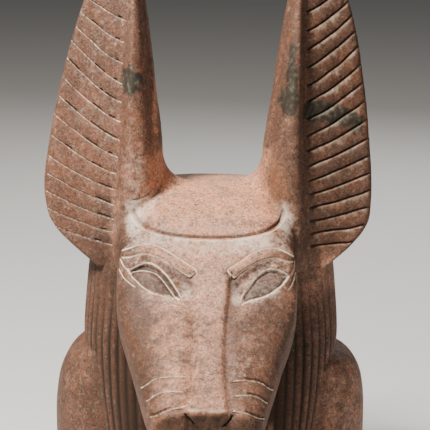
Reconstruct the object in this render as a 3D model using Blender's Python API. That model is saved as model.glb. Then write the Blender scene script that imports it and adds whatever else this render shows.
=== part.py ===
"""Bust of a jackal-headed statue, carved from one block of reddish stone and cut flat below.

Metres, +Z up. The face looks along -Y, and the flat underside lies at Z = 0.
"""

import math

import bmesh
import bpy
import numpy as np
from mathutils import Matrix, Vector
from mathutils.bvhtree import BVHTree

# Driving dimensions, in metres
CROWN_HEIGHT = 0.443  # from the flat cut to the top of the wig's cap
EAR_HEIGHT = 0.342  # from the crown to the ear tips
SHOULDER_WIDTH = 0.393
CHEST_DEPTH = 0.205
WIG_WIDTH = 0.320
WIG_DEPTH = 0.222
HEAD_WIDTH = 0.215  # across the face at the eyes
FACE_UNEVENNESS = 0.0045  # the left cheek is this much wider than the mean, the right narrower
NOSE_REACH = 0.305  # from the plane between the ears to the nose
EAR_SPAN = 0.4044  # across both ears at their widest
EAR_THICKNESS = 0.046
EAR_UNEVENNESS = 0.005  # the left ear's lobe is this much wider than the mean, the right's narrower
EAR_LEAN = 0.006  # how far both tips lean to the right of the axis
RIM_RELIEF = 0.016  # how far an ear's rounded rim stands before its grooved leaf
FACE_DROP = 0.003  # the right eye and brow sit this much lower than the left
SHOULDER_DROP = 0.010  # the right shoulder's top sits this much lower
THROAT_GAP = 0.080  # between the lappets, under the muzzle
STRAND_DEPTH = 0.0026  # the grooves between the wig's locks
STRAND_COUNT = 80  # locks all the way round the wig
GROOVE_WIDTH = 0.0034  # the grooves of an ear's leaf
GROOVE_DEPTH = 0.0026
LINE_WIDTH = 0.0026  # the incised lines of the face
LINE_DEPTH = 0.0018
CREASE_WIDTH = 0.006  # beside the bridge of the nose
CREASE_DEPTH = 0.0028
EYE_LENGTH = 0.060
EYE_OPENING = 0.027
EYE_SINK = 0.0055  # depth of the hollow that holds the eyeball
EAR_FOOT_FILLET = 0.038  # height over which an ear's inner edge rounds into the crown
EAR_FOOT_DROP = 0.005  # the fillet ends this far under CROWN_HEIGHT
EAR_FOOT_SPREAD = 0.034
CUTTER_MARGIN = 0.003  # how far a groove's cutter stands out of the stone

# Shares that shape several forms
LEAF_SLANT = 0.38  # how far an ear's leaf falls back towards its outer edge, against its width
CHEST_FRONT = 0.44  # part of CHEST_DEPTH that lies before the plane between the ears
EYEBALL = 0.66  # the eyeball against the hollow round it
EYEBALL_RISE = 0.45  # how far its crest stands out of the hollow, against EYE_SINK
WIG_EDGE_REACH = 0.83  # ends of the wig's front edge, against half HEAD_WIDTH
WIG_EDGE_TOP = 0.930  # heights of its ends and of its middle, against CROWN_HEIGHT
WIG_EDGE_BOTTOM = 0.876
THROAT_TOP = 0.62  # heights of the hollow between the lappets, against CROWN_HEIGHT
THROAT_BOTTOM = 0.05
HIGHEST_GROOVE = 0.90  # against EAR_HEIGHT
GROOVE_LIFT = 0.10  # how much higher a groove leaves the ear than it starts, against EAR_HEIGHT
GROOVE_HOOK = 1.35  # over 1 it starts flatter than it ends

# Squareness of rounded outlines: 2 is an ellipse, and a larger number is squarer
TORSO_SQUARENESS = 2.6
WIG_FRONT_SQUARENESS = 3.6
WIG_BACK_SQUARENESS = 2.5
CAP_FRONT_SQUARENESS = 3.2
CAP_BACK_SQUARENESS = 2.4
WIG_EDGE_SQUARENESS = 2.2

# Fineness of the faceted solid
TORSO_SIDES = 40
HEAD_SIDES = 36
CAP_SIDES = 40
GROOVE_STEPS = 4
WIG_EDGE_STEPS = 16
EYE_SEGMENTS = 14
EYE_RINGS = 8

STONE_COLOUR = (0.30, 0.165, 0.125, 1.0)
STONE_ROUGHNESS = 0.75

# Height above the cut as a share of CROWN_HEIGHT, half-width as a share of half SHOULDER_WIDTH,
# depth as a share of CHEST_DEPTH, and how much of SHOULDER_DROP the right side takes
TORSO_STATIONS = (
    (0.00, 0.965, 1.00, 0.0),
    (0.16, 0.99, 1.00, 0.0),
    (0.32, 1.00, 1.00, 0.0),
    (0.41, 0.98, 1.00, 0.0),
    (0.465, 0.935, 1.00, 0.2),
    (0.50, 0.88, 0.99, 0.6),
    (0.53, 0.79, 0.95, 0.95),
    (0.56, 0.665, 0.88, 1.0),
    (0.60, 0.56, 0.83, 1.0),
)

# Height as a share of CROWN_HEIGHT, half-width as a share of half WIG_WIDTH, then the front and
# back faces as shares of WIG_DEPTH from the plane between the ears
WIG_STATIONS = (
    (0.10, 0.80, -0.56, 0.60),
    (0.28, 0.86, -0.54, 0.63),
    (0.42, 0.95, -0.47, 0.64),
    (0.56, 1.00, -0.40, 0.64),
    (0.68, 0.98, -0.35, 0.62),
    (0.78, 0.945, -0.33, 0.60),
    (0.80, 0.895, -0.29, 0.56),
)
CAP_STATIONS = (
    (0.70, 0.88, -0.28, 0.56),
    (0.775, 0.92, -0.30, 0.575),
    (0.84, 0.885, -0.30, 0.555),
    (0.895, 0.81, -0.30, 0.51),
    (0.94, 0.70, -0.28, 0.44),
    (0.968, 0.54, -0.22, 0.34),
    (0.981, 0.34, -0.14, 0.21),
    (0.985, 0.15, -0.05, 0.10),
)

# Reach and height of the top of a section, reach and height of its underside, half-width, where
# down the section it is widest, and how square its upper and lower halves are. Reach is a share
# of NOSE_REACH, height of CROWN_HEIGHT, half-width of half HEAD_WIDTH
HEAD_STATIONS = (
    (-0.17, 0.962, -0.16, 0.45, 0.80, 0.35, 3.0, 2.3),
    (0.00, 0.990, 0.00, 0.42, 0.90, 0.30, 3.5, 2.3),
    (0.16, 0.972, 0.06, 0.39, 0.98, 0.30, 4.2, 2.3),
    (0.28, 0.935, 0.13, 0.375, 1.005, 0.30, 4.6, 2.2),
    (0.375, 0.876, 0.21, 0.37, 1.01, 0.28, 4.6, 2.1),
    (0.445, 0.797, 0.30, 0.37, 1.01, 0.24, 4.0, 1.9),
    (0.535, 0.729, 0.39, 0.37, 0.975, 0.22, 3.4, 1.8),
    (0.635, 0.678, 0.50, 0.37, 0.87, 0.26, 3.0, 1.9),
    (0.740, 0.632, 0.62, 0.37, 0.785, 0.33, 2.8, 2.0),
    (0.850, 0.580, 0.77, 0.37, 0.69, 0.40, 2.7, 2.2),
    (0.935, 0.542, 0.89, 0.375, 0.62, 0.46, 2.7, 2.3),
    (0.985, 0.518, 0.965, 0.385, 0.53, 0.50, 2.7, 2.4),
)

# Height above the crown as a share of EAR_HEIGHT, then half-width as a share of half EAR_SPAN
EAR_OUTER = (
    (-0.319, 0.673),
    (-0.289, 0.738),
    (-0.232, 0.862),
    (-0.181, 0.943),
    (-0.133, 0.984),
    (-0.037, 1.000),
    (0.164, 0.970),
    (0.455, 0.884),
    (0.634, 0.802),
    (0.843, 0.679),
    (0.958, 0.598),
    (1.000, 0.553),
)
EAR_INNER = (
    (-0.400, 0.296),
    (0.096, 0.307),
    (0.288, 0.348),
    (0.509, 0.395),
    (0.635, 0.430),
    (0.813, 0.482),
    (0.950, 0.528),
    (1.000, 0.548),
)
EAR_BOUNDARY = (
    (-0.320, 0.592),
    (0.026, 0.561),
    (0.116, 0.548),
    (0.474, 0.533),
    (0.650, 0.522),
    (0.850, 0.538),
    (1.000, 0.551),
)
# How much of EAR_UNEVENNESS an ear takes at each level
EAR_UNEVEN = ((-0.25, 0.0), (-0.03, 1.0), (0.35, 0.5), (0.65, 0.0), (1.0, 0.0))
# Thickness of an ear at each level, as a share of EAR_THICKNESS
EAR_SLIMMING = ((-0.4, 1.4), (0.0, 1.35), (0.12, 1.12), (0.3, 0.95), (0.6, 0.75), (1.0, 0.25))
# Where its leaf lies at each level, as a share of EAR_HEIGHT before the plane between the ears
EAR_SET = ((-0.4, -0.152), (-0.25, -0.181), (-0.05, -0.181), (0.3, -0.1345), (1.0, -0.0175))
EAR_LEVELS = (-0.315, -0.275, -0.22, -0.165, -0.10, -0.018, -0.004, 0.012, 0.035, 0.065, 0.10)
EAR_LEVELS += (0.20, 0.34, 0.50, 0.65, 0.80, 0.90, 0.96, 1.0)
# Level of a groove's inner end, then its slope, for the left ear and for the right one
LEFT_GROOVE_SLOPES = (
    (-0.230, 0.279),
    (-0.050, 0.419),
    (0.120, 0.639),
    (0.330, 0.799),
    (0.450, 0.699),
    (0.600, 0.539),
    (0.950, 0.519),
)
RIGHT_GROOVE_SLOPES = (
    (-0.230, 0.039),
    (-0.080, 0.269),
    (0.100, 0.459),
    (0.350, 0.719),
    (0.450, 0.749),
    (0.600, 0.619),
    (0.950, 0.519),
)
# Level of the lowest groove, first step up to the next one, and how much each step grows
LEFT_GROOVE_STEPS = (-0.229, 0.0470, 0.00238)
RIGHT_GROOVE_STEPS = (-0.224, 0.0440, 0.00162)

# Carved lines of the face, each point as its distance from the axis, a share of half HEAD_WIDTH,
# and its height, a share of CROWN_HEIGHT
BROW = (
    (0.95, 0.832),
    (0.86, 0.845),
    (0.77, 0.854),
    (0.69, 0.857),
    (0.58, 0.854),
    (0.46, 0.843),
    (0.35, 0.827),
    (0.23, 0.811),
    (0.175, 0.801),
    (0.245, 0.783),
    (0.35, 0.797),
    (0.45, 0.812),
    (0.56, 0.826),
    (0.67, 0.834),
    (0.76, 0.833),
    (0.86, 0.824),
    (0.95, 0.819),
)
UPPER_LID = (
    (0.97, 0.813),
    (0.93, 0.796),
    (0.885, 0.790),
    (0.835, 0.796),
    (0.77, 0.804),
    (0.69, 0.810),
    (0.61, 0.803),
    (0.53, 0.792),
    (0.47, 0.776),
    (0.40, 0.757),
    (0.345, 0.733),
)
LOWER_LID = (
    (0.895, 0.785),
    (0.83, 0.768),
    (0.75, 0.756),
    (0.68, 0.748),
    (0.61, 0.742),
    (0.53, 0.738),
    (0.44, 0.733),
)
COSMETIC_LINE = ((0.975, 0.783), (0.93, 0.769), (0.85, 0.755))
EYE_INNER = (0.36, 0.732)
EYE_OUTER = (0.88, 0.784)
WHISKERS = (
    ((0.705, 0.540), (0.56, 0.568), (0.39, 0.578), (0.22, 0.579)),
    ((0.64, 0.520), (0.54, 0.540), (0.41, 0.550), (0.24, 0.552)),
    ((0.60, 0.490), (0.39, 0.517), (0.24, 0.524)),
)
BRIDGE_EDGE = ((0.19, 0.785), (0.18, 0.730), (0.178, 0.670), (0.178, 0.613), (0.190, 0.557), (0.225, 0.526))
NOSTRIL = ((0.250, 0.512), (0.215, 0.498), (0.150, 0.482))
LIP_CLEFT = ((0.0, 0.474), (0.0, 0.450), (0.0, 0.420))
# The mouth in side view, each point as its reach, a share of NOSE_REACH, and its height
MOUTH = ((0.93, 0.425), (0.85, 0.418), (0.75, 0.422), (0.65, 0.436), (0.58, 0.455))


def smooth(points):
    """A curve through the points that never overshoots them, as a function of their first value."""
    xs, ys = (np.array(column, float) for column in zip(*points))
    steps = np.diff(xs)
    slopes = np.diff(ys) / steps
    tangents = np.zeros(len(xs))
    for i in range(1, len(xs) - 1):
        before, after = slopes[i - 1], slopes[i]
        if before * after > 0:
            weight = (steps[i - 1] + 2 * steps[i]) / (3 * (steps[i - 1] + steps[i]))
            tangents[i] = before * after / (weight * after + (1 - weight) * before)
    tangents[0], tangents[-1] = slopes[0], slopes[-1]

    def at(x):
        x = min(max(x, xs[0]), xs[-1])
        i = min(int(np.searchsorted(xs, x, side="right")) - 1, len(xs) - 2)
        t = (x - xs[i]) / steps[i]
        rise = ys[i + 1] - ys[i]
        bend = (tangents[i] - slopes[i]) * (1 - t) + (slopes[i] - tangents[i + 1]) * t
        return float(ys[i] + rise * t + bend * steps[i] * t * (1 - t))

    return at


def turns(count):
    """The angles of a full turn in equal steps."""
    return [2 * math.pi * i / count for i in range(count)]


def superellipse(angle, squareness):
    """A point of a superellipse with half-axes of 1."""
    c, s = math.cos(angle), math.sin(angle)
    return (
        math.copysign(abs(c) ** (2 / squareness), c),
        math.copysign(abs(s) ** (2 / squareness), s),
    )


def evenly(outline, count):
    """The closed outline's points again, at equal steps along it."""
    closed = np.vstack([outline, outline[:1]])
    along = np.concatenate([[0], np.cumsum(np.linalg.norm(np.diff(closed, axis=0), axis=1))])
    wanted = np.linspace(0, along[-1], count, endpoint=False)
    return np.stack([np.interp(wanted, along, closed[:, k]) for k in range(closed.shape[1])], axis=1)


def loft(name, rings):
    """A closed mesh object through rings of equally many points, capped at both ends."""
    mesh = bpy.data.meshes.new(name)
    bm = bmesh.new()
    loops = [[bm.verts.new(point) for point in ring] for ring in rings]
    count = len(rings[0])
    for lower, upper in zip(loops, loops[1:]):
        for i in range(count):
            j = (i + 1) % count
            bm.faces.new((lower[i], lower[j], upper[j], upper[i]))
    caps = [bm.faces.new(loops[0]), bm.faces.new(loops[-1])]
    bmesh.ops.triangulate(bm, faces=caps)
    bmesh.ops.recalc_face_normals(bm, faces=bm.faces)
    if bm.calc_volume(signed=True) < 0:
        bmesh.ops.reverse_faces(bm, faces=bm.faces)
    bm.to_mesh(mesh)
    bm.free()
    mesh.shade_smooth()
    mesh.set_sharp_from_angle(angle=math.radians(40))
    piece = bpy.data.objects.new(name, mesh)
    bpy.context.scene.collection.objects.link(piece)
    return piece


def helper(piece):
    """Marks an object that only shapes another one."""
    piece.hide_render = True
    piece.display_type = "WIRE"
    return piece


def combine(piece, other, operation):
    modifier = piece.modifiers.new(f"{operation.title()} {other.name}", "BOOLEAN")
    modifier.operation = operation
    # The exact solver returns nothing where the wig's narrow locks meet the ears and the shoulders
    modifier.solver = "MANIFOLD"
    modifier.object = helper(other)


def flat_section(height, half_width, front, back, squareness, sides):
    """A horizontal section: a rounded outline from its front to its back, each with its squareness."""
    middle, half_depth = (front + back) / 2, (back - front) / 2
    dense = []
    for angle in turns(8 * sides):
        x, y = superellipse(angle, squareness[0] if math.sin(angle) < 0 else squareness[1])
        dense.append((half_width * x, middle + half_depth * y))
    return [(x, y, height) for x, y in evenly(np.array(dense), sides)]


def ear_groove(side, level, slope):
    """The front view of one groove of an ear, from its hooked inner end out past the ear's edge."""
    start = ear_line(EAR_BOUNDARY, level, side) + GROOVE_WIDTH
    end = ear_line(EAR_OUTER, min(level + GROOVE_LIFT, 1.0), side) + GROOVE_WIDTH
    lean = EAR_LEAN * max(level, 0)
    points = []
    for i in range(GROOVE_STEPS + 1):
        share = i / GROOVE_STEPS
        out = start + share * (end - start)
        rise = slope * (end - start) * share**GROOVE_HOOK
        points.append((side * out + lean, CROWN_HEIGHT + level * EAR_HEIGHT + rise))
    return points


def torso():
    rings = []
    for height, half, depth, drop in TORSO_STATIONS:
        half_width = half * SHOULDER_WIDTH / 2
        front = -CHEST_FRONT * depth * CHEST_DEPTH
        back = (1 - CHEST_FRONT) * depth * CHEST_DEPTH
        squareness = (TORSO_SQUARENESS, TORSO_SQUARENESS)
        section = flat_section(height * CROWN_HEIGHT, half_width, front, back, squareness, TORSO_SIDES)
        rings.append([(x, y, z - drop * SHOULDER_DROP * max(x / half_width, 0)) for x, y, z in section])
    return loft("torso", rings)


def locks(ring):
    """The section with every second point pushed in, so that grooves part the locks."""
    points = np.array(ring)
    along = np.roll(points, -1, axis=0) - np.roll(points, 1, axis=0)
    inward = np.stack([-along[:, 1], along[:, 0], np.zeros(len(points))], axis=1)
    inward /= np.linalg.norm(inward, axis=1)[:, None]
    points[1::2] += inward[1::2] * STRAND_DEPTH
    return [tuple(point) for point in points]


def throat_gap():
    """The cutter for the hollow between the two lappets."""
    chest, front = -0.95 * CHEST_FRONT * CHEST_DEPTH, -WIG_DEPTH
    rings = []
    for height, half in ((THROAT_BOTTOM, 0.35 * THROAT_GAP), (THROAT_TOP, 0.5 * THROAT_GAP)):
        z = height * CROWN_HEIGHT
        rings.append([(-half, front, z), (half, front, z), (1.1 * half, chest, z), (-1.1 * half, chest, z)])
    return loft("throat_gap", rings)


def wig_rings(stations, squareness, sides):
    rings = []
    for height, half, front, back in stations:
        half_width = half * WIG_WIDTH / 2
        ends = (front * WIG_DEPTH, back * WIG_DEPTH)
        rings.append(flat_section(height * CROWN_HEIGHT, half_width, *ends, squareness, sides))
    return rings


def wig():
    squareness = (WIG_FRONT_SQUARENESS, WIG_BACK_SQUARENESS)
    piece = loft("wig_locks", [locks(ring) for ring in wig_rings(WIG_STATIONS, squareness, 2 * STRAND_COUNT)])
    combine(piece, throat_gap(), "DIFFERENCE")
    return piece


def cap():
    return loft("wig_cap", wig_rings(CAP_STATIONS, (CAP_FRONT_SQUARENESS, CAP_BACK_SQUARENESS), CAP_SIDES))


def head():
    rings = []
    for top_reach, top_height, under_reach, under_height, half, widest, over, below in HEAD_STATIONS:
        top = Vector((0, -top_reach * NOSE_REACH, top_height * CROWN_HEIGHT))
        under = Vector((0, -under_reach * NOSE_REACH, under_height * CROWN_HEIGHT))
        dense = []
        for angle in turns(8 * HEAD_SIDES):
            x, y = superellipse(angle, over if math.sin(angle) > 0 else below)
            down = widest * (1 - y) if y > 0 else widest - (1 - widest) * y
            point = top.lerp(under, down)
            uneven = -abs(x) * FACE_UNEVENNESS
            dense.append((x * half * HEAD_WIDTH / 2 + uneven, point.y, point.z))
        rings.append(evenly(np.array(dense), HEAD_SIDES))
    return loft("head", rings)


def ear_line(table, level, side):
    """The half-width of one of an ear's upright lines at this level."""
    uneven = smooth(EAR_UNEVEN)(level) if table is EAR_OUTER else 0.0
    return smooth(table)(level) * EAR_SPAN / 2 - side * uneven * EAR_UNEVENNESS


def ear_section(level, side):
    """One horizontal section of an ear, from its outer edge over its front and back round its rear."""
    outer = ear_line(EAR_OUTER, level, side)
    inner = ear_line(EAR_INNER, level, side)
    edge = ear_line(EAR_BOUNDARY, level, side)
    height = CROWN_HEIGHT + level * EAR_HEIGHT
    foot_top = CROWN_HEIGHT - EAR_FOOT_DROP + EAR_FOOT_FILLET
    drop = min(max((foot_top - height) / EAR_FOOT_FILLET, 0), 1)
    spread = EAR_FOOT_SPREAD * (1 - math.sqrt(1 - drop * drop))
    rim = edge - inner
    thickness = smooth(EAR_SLIMMING)(level) * EAR_THICKNESS
    relief = RIM_RELIEF * min(1.0, rim / (0.15 * EAR_SPAN / 2))
    leaf = smooth(EAR_SET)(level) * EAR_HEIGHT
    crest = leaf - relief
    strip = leaf + 0.30 * min(thickness, EAR_THICKNESS)
    back = leaf + thickness
    leaf_width = outer - edge
    slant = LEAF_SLANT * leaf_width
    points = (
        (outer, leaf + slant + 0.10 * thickness),
        (outer - 0.03 * leaf_width, leaf + 0.97 * slant - 0.04 * thickness),
        (outer - 0.30 * leaf_width, leaf + 0.70 * slant + 0.02 * thickness),
        (outer - 0.65 * leaf_width, leaf + 0.35 * slant + 0.05 * thickness),
        (edge + 0.05 * leaf_width, leaf + 0.05 * slant + 0.04 * thickness),
        (edge - 0.10 * rim, leaf - 0.7 * relief),
        (edge - 0.22 * rim, crest),
        (edge - 0.52 * rim, leaf - 0.8 * relief),
        (edge - 0.74 * rim, (crest + strip) / 2),
        (edge - 0.86 * rim, strip),
        (inner + 0.05 * rim, strip + 0.05 * (back - strip)),
        (inner - 0.45 * spread, strip + 0.45 * (back - strip)),
        (inner - spread, strip + 0.80 * (back - strip)),
        (inner + 0.25 * rim - 0.8 * spread, back),
        (edge, back + 0.08 * (back - leaf)),
        (outer - 0.35 * leaf_width, back),
        (outer - 0.04 * leaf_width, leaf + slant + 0.5 * (thickness - slant)),
    )
    shift = EAR_LEAN * max(level, 0)
    return [(side * x + shift, y, height) for x, y in points]


def ear(name, side):
    return loft(name, [ear_section(level, side) for level in EAR_LEVELS])


def face_point(out, height, side):
    """A point of the face in front view, from its shares."""
    x = side * out * HEAD_WIDTH / 2 - out * FACE_UNEVENNESS
    return x, height * CROWN_HEIGHT - (FACE_DROP if side > 0 else 0.0)


def groove(name, tree, starts, direction, width, depth):
    """A cutter that draws a V-shaped groove where rays from the starts meet the stone."""
    feet = []
    for start in starts:
        spot, normal, _, _ = tree.ray_cast(Vector(start), direction)
        if spot is None:
            # Past the edge of the stone, the groove runs on level with its last point
            spot = Vector(start) + direction * (feet[-1][0] - Vector(start)).dot(direction)
            normal = feet[-1][1]
        feet.append((spot, (normal - direction).normalized()))
    rings = []
    for i, (spot, normal) in enumerate(feet):
        along = feet[min(i + 1, len(feet) - 1)][0] - feet[max(i - 1, 0)][0]
        across = along.cross(normal).normalized() * width / 2 * (1 + CUTTER_MARGIN / depth)
        up = normal * CUTTER_MARGIN
        rings.append([spot + up - across, spot + up + across, spot - normal * depth])
    return loft(name, rings)


def wig_edge():
    """The front view of the wig's lower edge over the forehead, from the left end to the right."""
    points = []
    for i in range(WIG_EDGE_STEPS + 1):
        x, y = superellipse(math.pi * i / WIG_EDGE_STEPS, WIG_EDGE_SQUARENESS)
        out = -x * WIG_EDGE_REACH
        height = WIG_EDGE_TOP - y * (WIG_EDGE_TOP - WIG_EDGE_BOTTOM)
        points.append((out * HEAD_WIDTH / 2 - abs(out) * FACE_UNEVENNESS, height * CROWN_HEIGHT))
    return points


def groove_levels(steps):
    """Levels of the inner ends of an ear's grooves, from its lobe up to its tip."""
    level, step, growth = steps
    levels = []
    while level < HIGHEST_GROOVE:
        levels.append(level)
        level += step
        step += growth
    return levels


def carve_lines(tree):
    """Every cutter of an incised line."""
    ahead = Vector((0, 1, 0))
    cutters = []

    def from_front(name, points, width, depth):
        starts = [(x, -1.0, z) for x, z in points]
        cutters.append(groove(name, tree, starts, ahead, width, depth))

    from_front("wig_edge", wig_edge(), 1.4 * LINE_WIDTH, 1.3 * LINE_DEPTH)
    from_front("lip_cleft", [face_point(u, v, 1) for u, v in LIP_CLEFT], 1.4 * LINE_WIDTH, 1.6 * LINE_DEPTH)
    for side, word in ((-1, "left"), (1, "right")):
        steps = LEFT_GROOVE_STEPS if side < 0 else RIGHT_GROOVE_STEPS
        slope = smooth(LEFT_GROOVE_SLOPES if side < 0 else RIGHT_GROOVE_SLOPES)
        for i, level in enumerate(groove_levels(steps)):
            points = ear_groove(side, level, slope(level))
            from_front(f"{word}_ear_groove_{i + 1}", points, GROOVE_WIDTH, GROOVE_DEPTH)
        lines = [
            ("brow", BROW, LINE_WIDTH, LINE_DEPTH),
            ("upper_lid", UPPER_LID, LINE_WIDTH, LINE_DEPTH),
            ("lower_lid", LOWER_LID, LINE_WIDTH, LINE_DEPTH),
            ("eye_line", COSMETIC_LINE, LINE_WIDTH, LINE_DEPTH),
            ("nostril", NOSTRIL, 1.4 * LINE_WIDTH, 1.6 * LINE_DEPTH),
            ("bridge_crease", BRIDGE_EDGE, CREASE_WIDTH, CREASE_DEPTH),
        ]
        for i, shares in enumerate(WHISKERS):
            lines.append((f"whisker_{i + 1}", shares, LINE_WIDTH, LINE_DEPTH))
        for name, shares, width, depth in lines:
            from_front(f"{word}_{name}", [face_point(u, v, side) for u, v in shares], width, depth)
        mouth = [(side, -reach * NOSE_REACH, height * CROWN_HEIGHT) for reach, height in MOUTH]
        cutters.append(groove(f"{word}_mouth", tree, mouth, Vector((-side, 0, 0)), LINE_WIDTH, LINE_DEPTH))
    return cutters


def eye_ball(name, tree, side, size, sink):
    """A flattened ball lying along the eye, its middle this far under the surface of the face."""
    ends = (face_point(*EYE_INNER, side), face_point(*EYE_OUTER, side))
    inner, outer = (Vector((x, -1.0, z)) for x, z in ends)
    ahead = Vector((0, 1, 0))
    first, last = tree.ray_cast(inner, ahead)[0], tree.ray_cast(outer, ahead)[0]
    middle, normal, _, _ = tree.ray_cast((inner + outer) / 2, ahead)
    long_axis = (last - first).normalized()
    short_axis = normal.cross(long_axis).normalized()
    normal = long_axis.cross(short_axis)
    bpy.ops.mesh.primitive_uv_sphere_add(segments=EYE_SEGMENTS, ring_count=EYE_RINGS, radius=1)
    ball = bpy.context.object
    ball.name = name
    turn = Matrix((long_axis, short_axis, normal)).transposed().to_4x4()
    radii = (size * EYE_LENGTH / 2, size * EYE_OPENING / 2, EYE_SINK)
    ball.matrix_world = Matrix.Translation(middle - normal * sink) @ turn @ Matrix.Diagonal((*radii, 1))
    return ball


def evaluated(piece):
    return piece.evaluated_get(bpy.context.evaluated_depsgraph_get())


def surface_of(piece):
    """A tree of the piece's surface as its modifiers leave it."""
    bpy.context.view_layer.update()
    return BVHTree.FromObject(piece, bpy.context.evaluated_depsgraph_get())


def stone_material():
    material = bpy.data.materials.new("reddish_granite")
    material.use_nodes = True
    shader = material.node_tree.nodes["Principled BSDF"]
    shader.inputs["Base Color"].default_value = STONE_COLOUR
    shader.inputs["Roughness"].default_value = STONE_ROUGHNESS
    shader.inputs["Metallic"].default_value = 0.0
    return material


def set_over_origin(bust):
    """Parents everything to an empty that brings the middle of the bust over the origin."""
    bpy.context.view_layer.update()
    corners = np.array([bust.matrix_world @ Vector(corner) for corner in evaluated(bust).bound_box])
    middle = (corners.min(axis=0) + corners.max(axis=0)) / 2
    frame = bpy.data.objects.new("bust_frame", None)
    for piece in list(bpy.data.objects):
        if piece != frame:
            piece.parent = frame
    bpy.context.scene.collection.objects.link(frame)
    frame.location = (-middle[0], -middle[1], 0.0)


def main():
    for old in list(bpy.data.objects):
        bpy.data.objects.remove(old)
    bust = torso()
    bust.name = "anubis_bust"
    for other in (wig(), cap(), head(), ear("left_ear", -1), ear("right_ear", 1)):
        combine(bust, other, "UNION")
    skin = surface_of(bust)
    for side, word in ((-1, "left"), (1, "right")):
        combine(bust, eye_ball(f"{word}_eye_hollow", skin, side, 1, 0), "DIFFERENCE")
        combine(bust, eye_ball(f"{word}_eyeball", skin, side, EYEBALL, EYEBALL_RISE * EYE_SINK), "UNION")
    for cutter in carve_lines(skin):
        combine(bust, cutter, "DIFFERENCE")
    bust.data.materials.append(stone_material())
    set_over_origin(bust)


main()
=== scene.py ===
"""Looks of the jackal-headed bust: the carved stone in fine mesh, its granite, the light and the camera."""

import math
from collections import namedtuple

import bpy
import numpy as np
from mathutils import Matrix, Vector
from mathutils.bvhtree import BVHTree
from mathutils.kdtree import KDTree


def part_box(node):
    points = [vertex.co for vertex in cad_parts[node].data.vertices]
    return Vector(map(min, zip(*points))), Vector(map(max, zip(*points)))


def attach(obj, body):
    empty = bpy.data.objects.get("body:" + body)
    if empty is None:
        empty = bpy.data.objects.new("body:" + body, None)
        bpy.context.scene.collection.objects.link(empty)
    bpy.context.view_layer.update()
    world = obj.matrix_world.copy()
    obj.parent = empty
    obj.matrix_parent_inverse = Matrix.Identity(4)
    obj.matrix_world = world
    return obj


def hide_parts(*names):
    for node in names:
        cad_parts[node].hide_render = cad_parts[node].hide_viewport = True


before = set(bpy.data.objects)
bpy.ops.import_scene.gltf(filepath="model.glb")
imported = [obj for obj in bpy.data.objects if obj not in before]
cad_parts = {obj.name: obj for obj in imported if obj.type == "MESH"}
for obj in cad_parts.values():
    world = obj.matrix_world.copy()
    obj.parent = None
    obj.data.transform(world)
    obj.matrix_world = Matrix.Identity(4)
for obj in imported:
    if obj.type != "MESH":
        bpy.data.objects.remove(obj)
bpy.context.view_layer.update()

# Driving dimensions in metres and shares of them, as in the CAD source, but for slightly deeper locks
CROWN_HEIGHT = 0.443
EAR_HEIGHT = 0.342
SHOULDER_WIDTH = 0.393
CHEST_DEPTH = 0.205
WIG_WIDTH = 0.320
WIG_DEPTH = 0.222
HEAD_WIDTH = 0.215
FACE_UNEVENNESS = 0.0045
NOSE_REACH = 0.305
EAR_SPAN = 0.4044
EAR_THICKNESS = 0.046
EAR_UNEVENNESS = 0.005
EAR_LEAN = 0.006
RIM_RELIEF = 0.016
FACE_DROP = 0.003
SHOULDER_DROP = 0.010
THROAT_GAP = 0.080
STRAND_DEPTH = 0.0028
STRAND_COUNT = 80  # locks all the way round the wig
EAR_FOOT_FILLET = 0.038
EAR_FOOT_DROP = 0.005
EAR_FOOT_SPREAD = 0.034
LEAF_SLANT = 0.38
CHEST_FRONT = 0.44
WIG_EDGE_REACH = 0.83
WIG_EDGE_TOP = 0.930
WIG_EDGE_BOTTOM = 0.876
THROAT_TOP = 0.62
THROAT_BOTTOM = 0.05
HIGHEST_GROOVE = 0.90
GROOVE_LIFT = 0.10
GROOVE_HOOK = 1.35

# Tables of the CAD source, as shares of the dimensions above. Heights are shares of CROWN_HEIGHT
# Height, half-width, depth, drop of the right shoulder
TORSO_STATIONS = (
    (0.0, 0.965, 1.0, 0.0),
    (0.16, 0.99, 1.0, 0.0),
    (0.32, 1.0, 1.0, 0.0),
    (0.41, 0.98, 1.0, 0.0),
    (0.465, 0.935, 1.0, 0.2),
    (0.5, 0.88, 0.99, 0.6),
    (0.53, 0.79, 0.95, 0.95),
    (0.56, 0.665, 0.88, 1.0),
    (0.6, 0.56, 0.83, 1.0),
)
# Height, half-width, front, back
WIG_STATIONS = (
    (0.1, 0.8, -0.56, 0.6),
    (0.28, 0.86, -0.54, 0.63),
    (0.42, 0.95, -0.47, 0.64),
    (0.56, 1.0, -0.4, 0.64),
    (0.68, 0.98, -0.35, 0.62),
    (0.78, 0.945, -0.33, 0.6),
    (0.8, 0.895, -0.29, 0.56),
)
CAP_STATIONS = (
    (0.7, 0.88, -0.28, 0.56),
    (0.775, 0.92, -0.3, 0.575),
    (0.84, 0.885, -0.3, 0.555),
    (0.895, 0.81, -0.3, 0.51),
    (0.94, 0.7, -0.28, 0.44),
    (0.968, 0.54, -0.22, 0.34),
    (0.981, 0.34, -0.14, 0.21),
    (0.985, 0.15, -0.05, 0.1),
)
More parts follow.
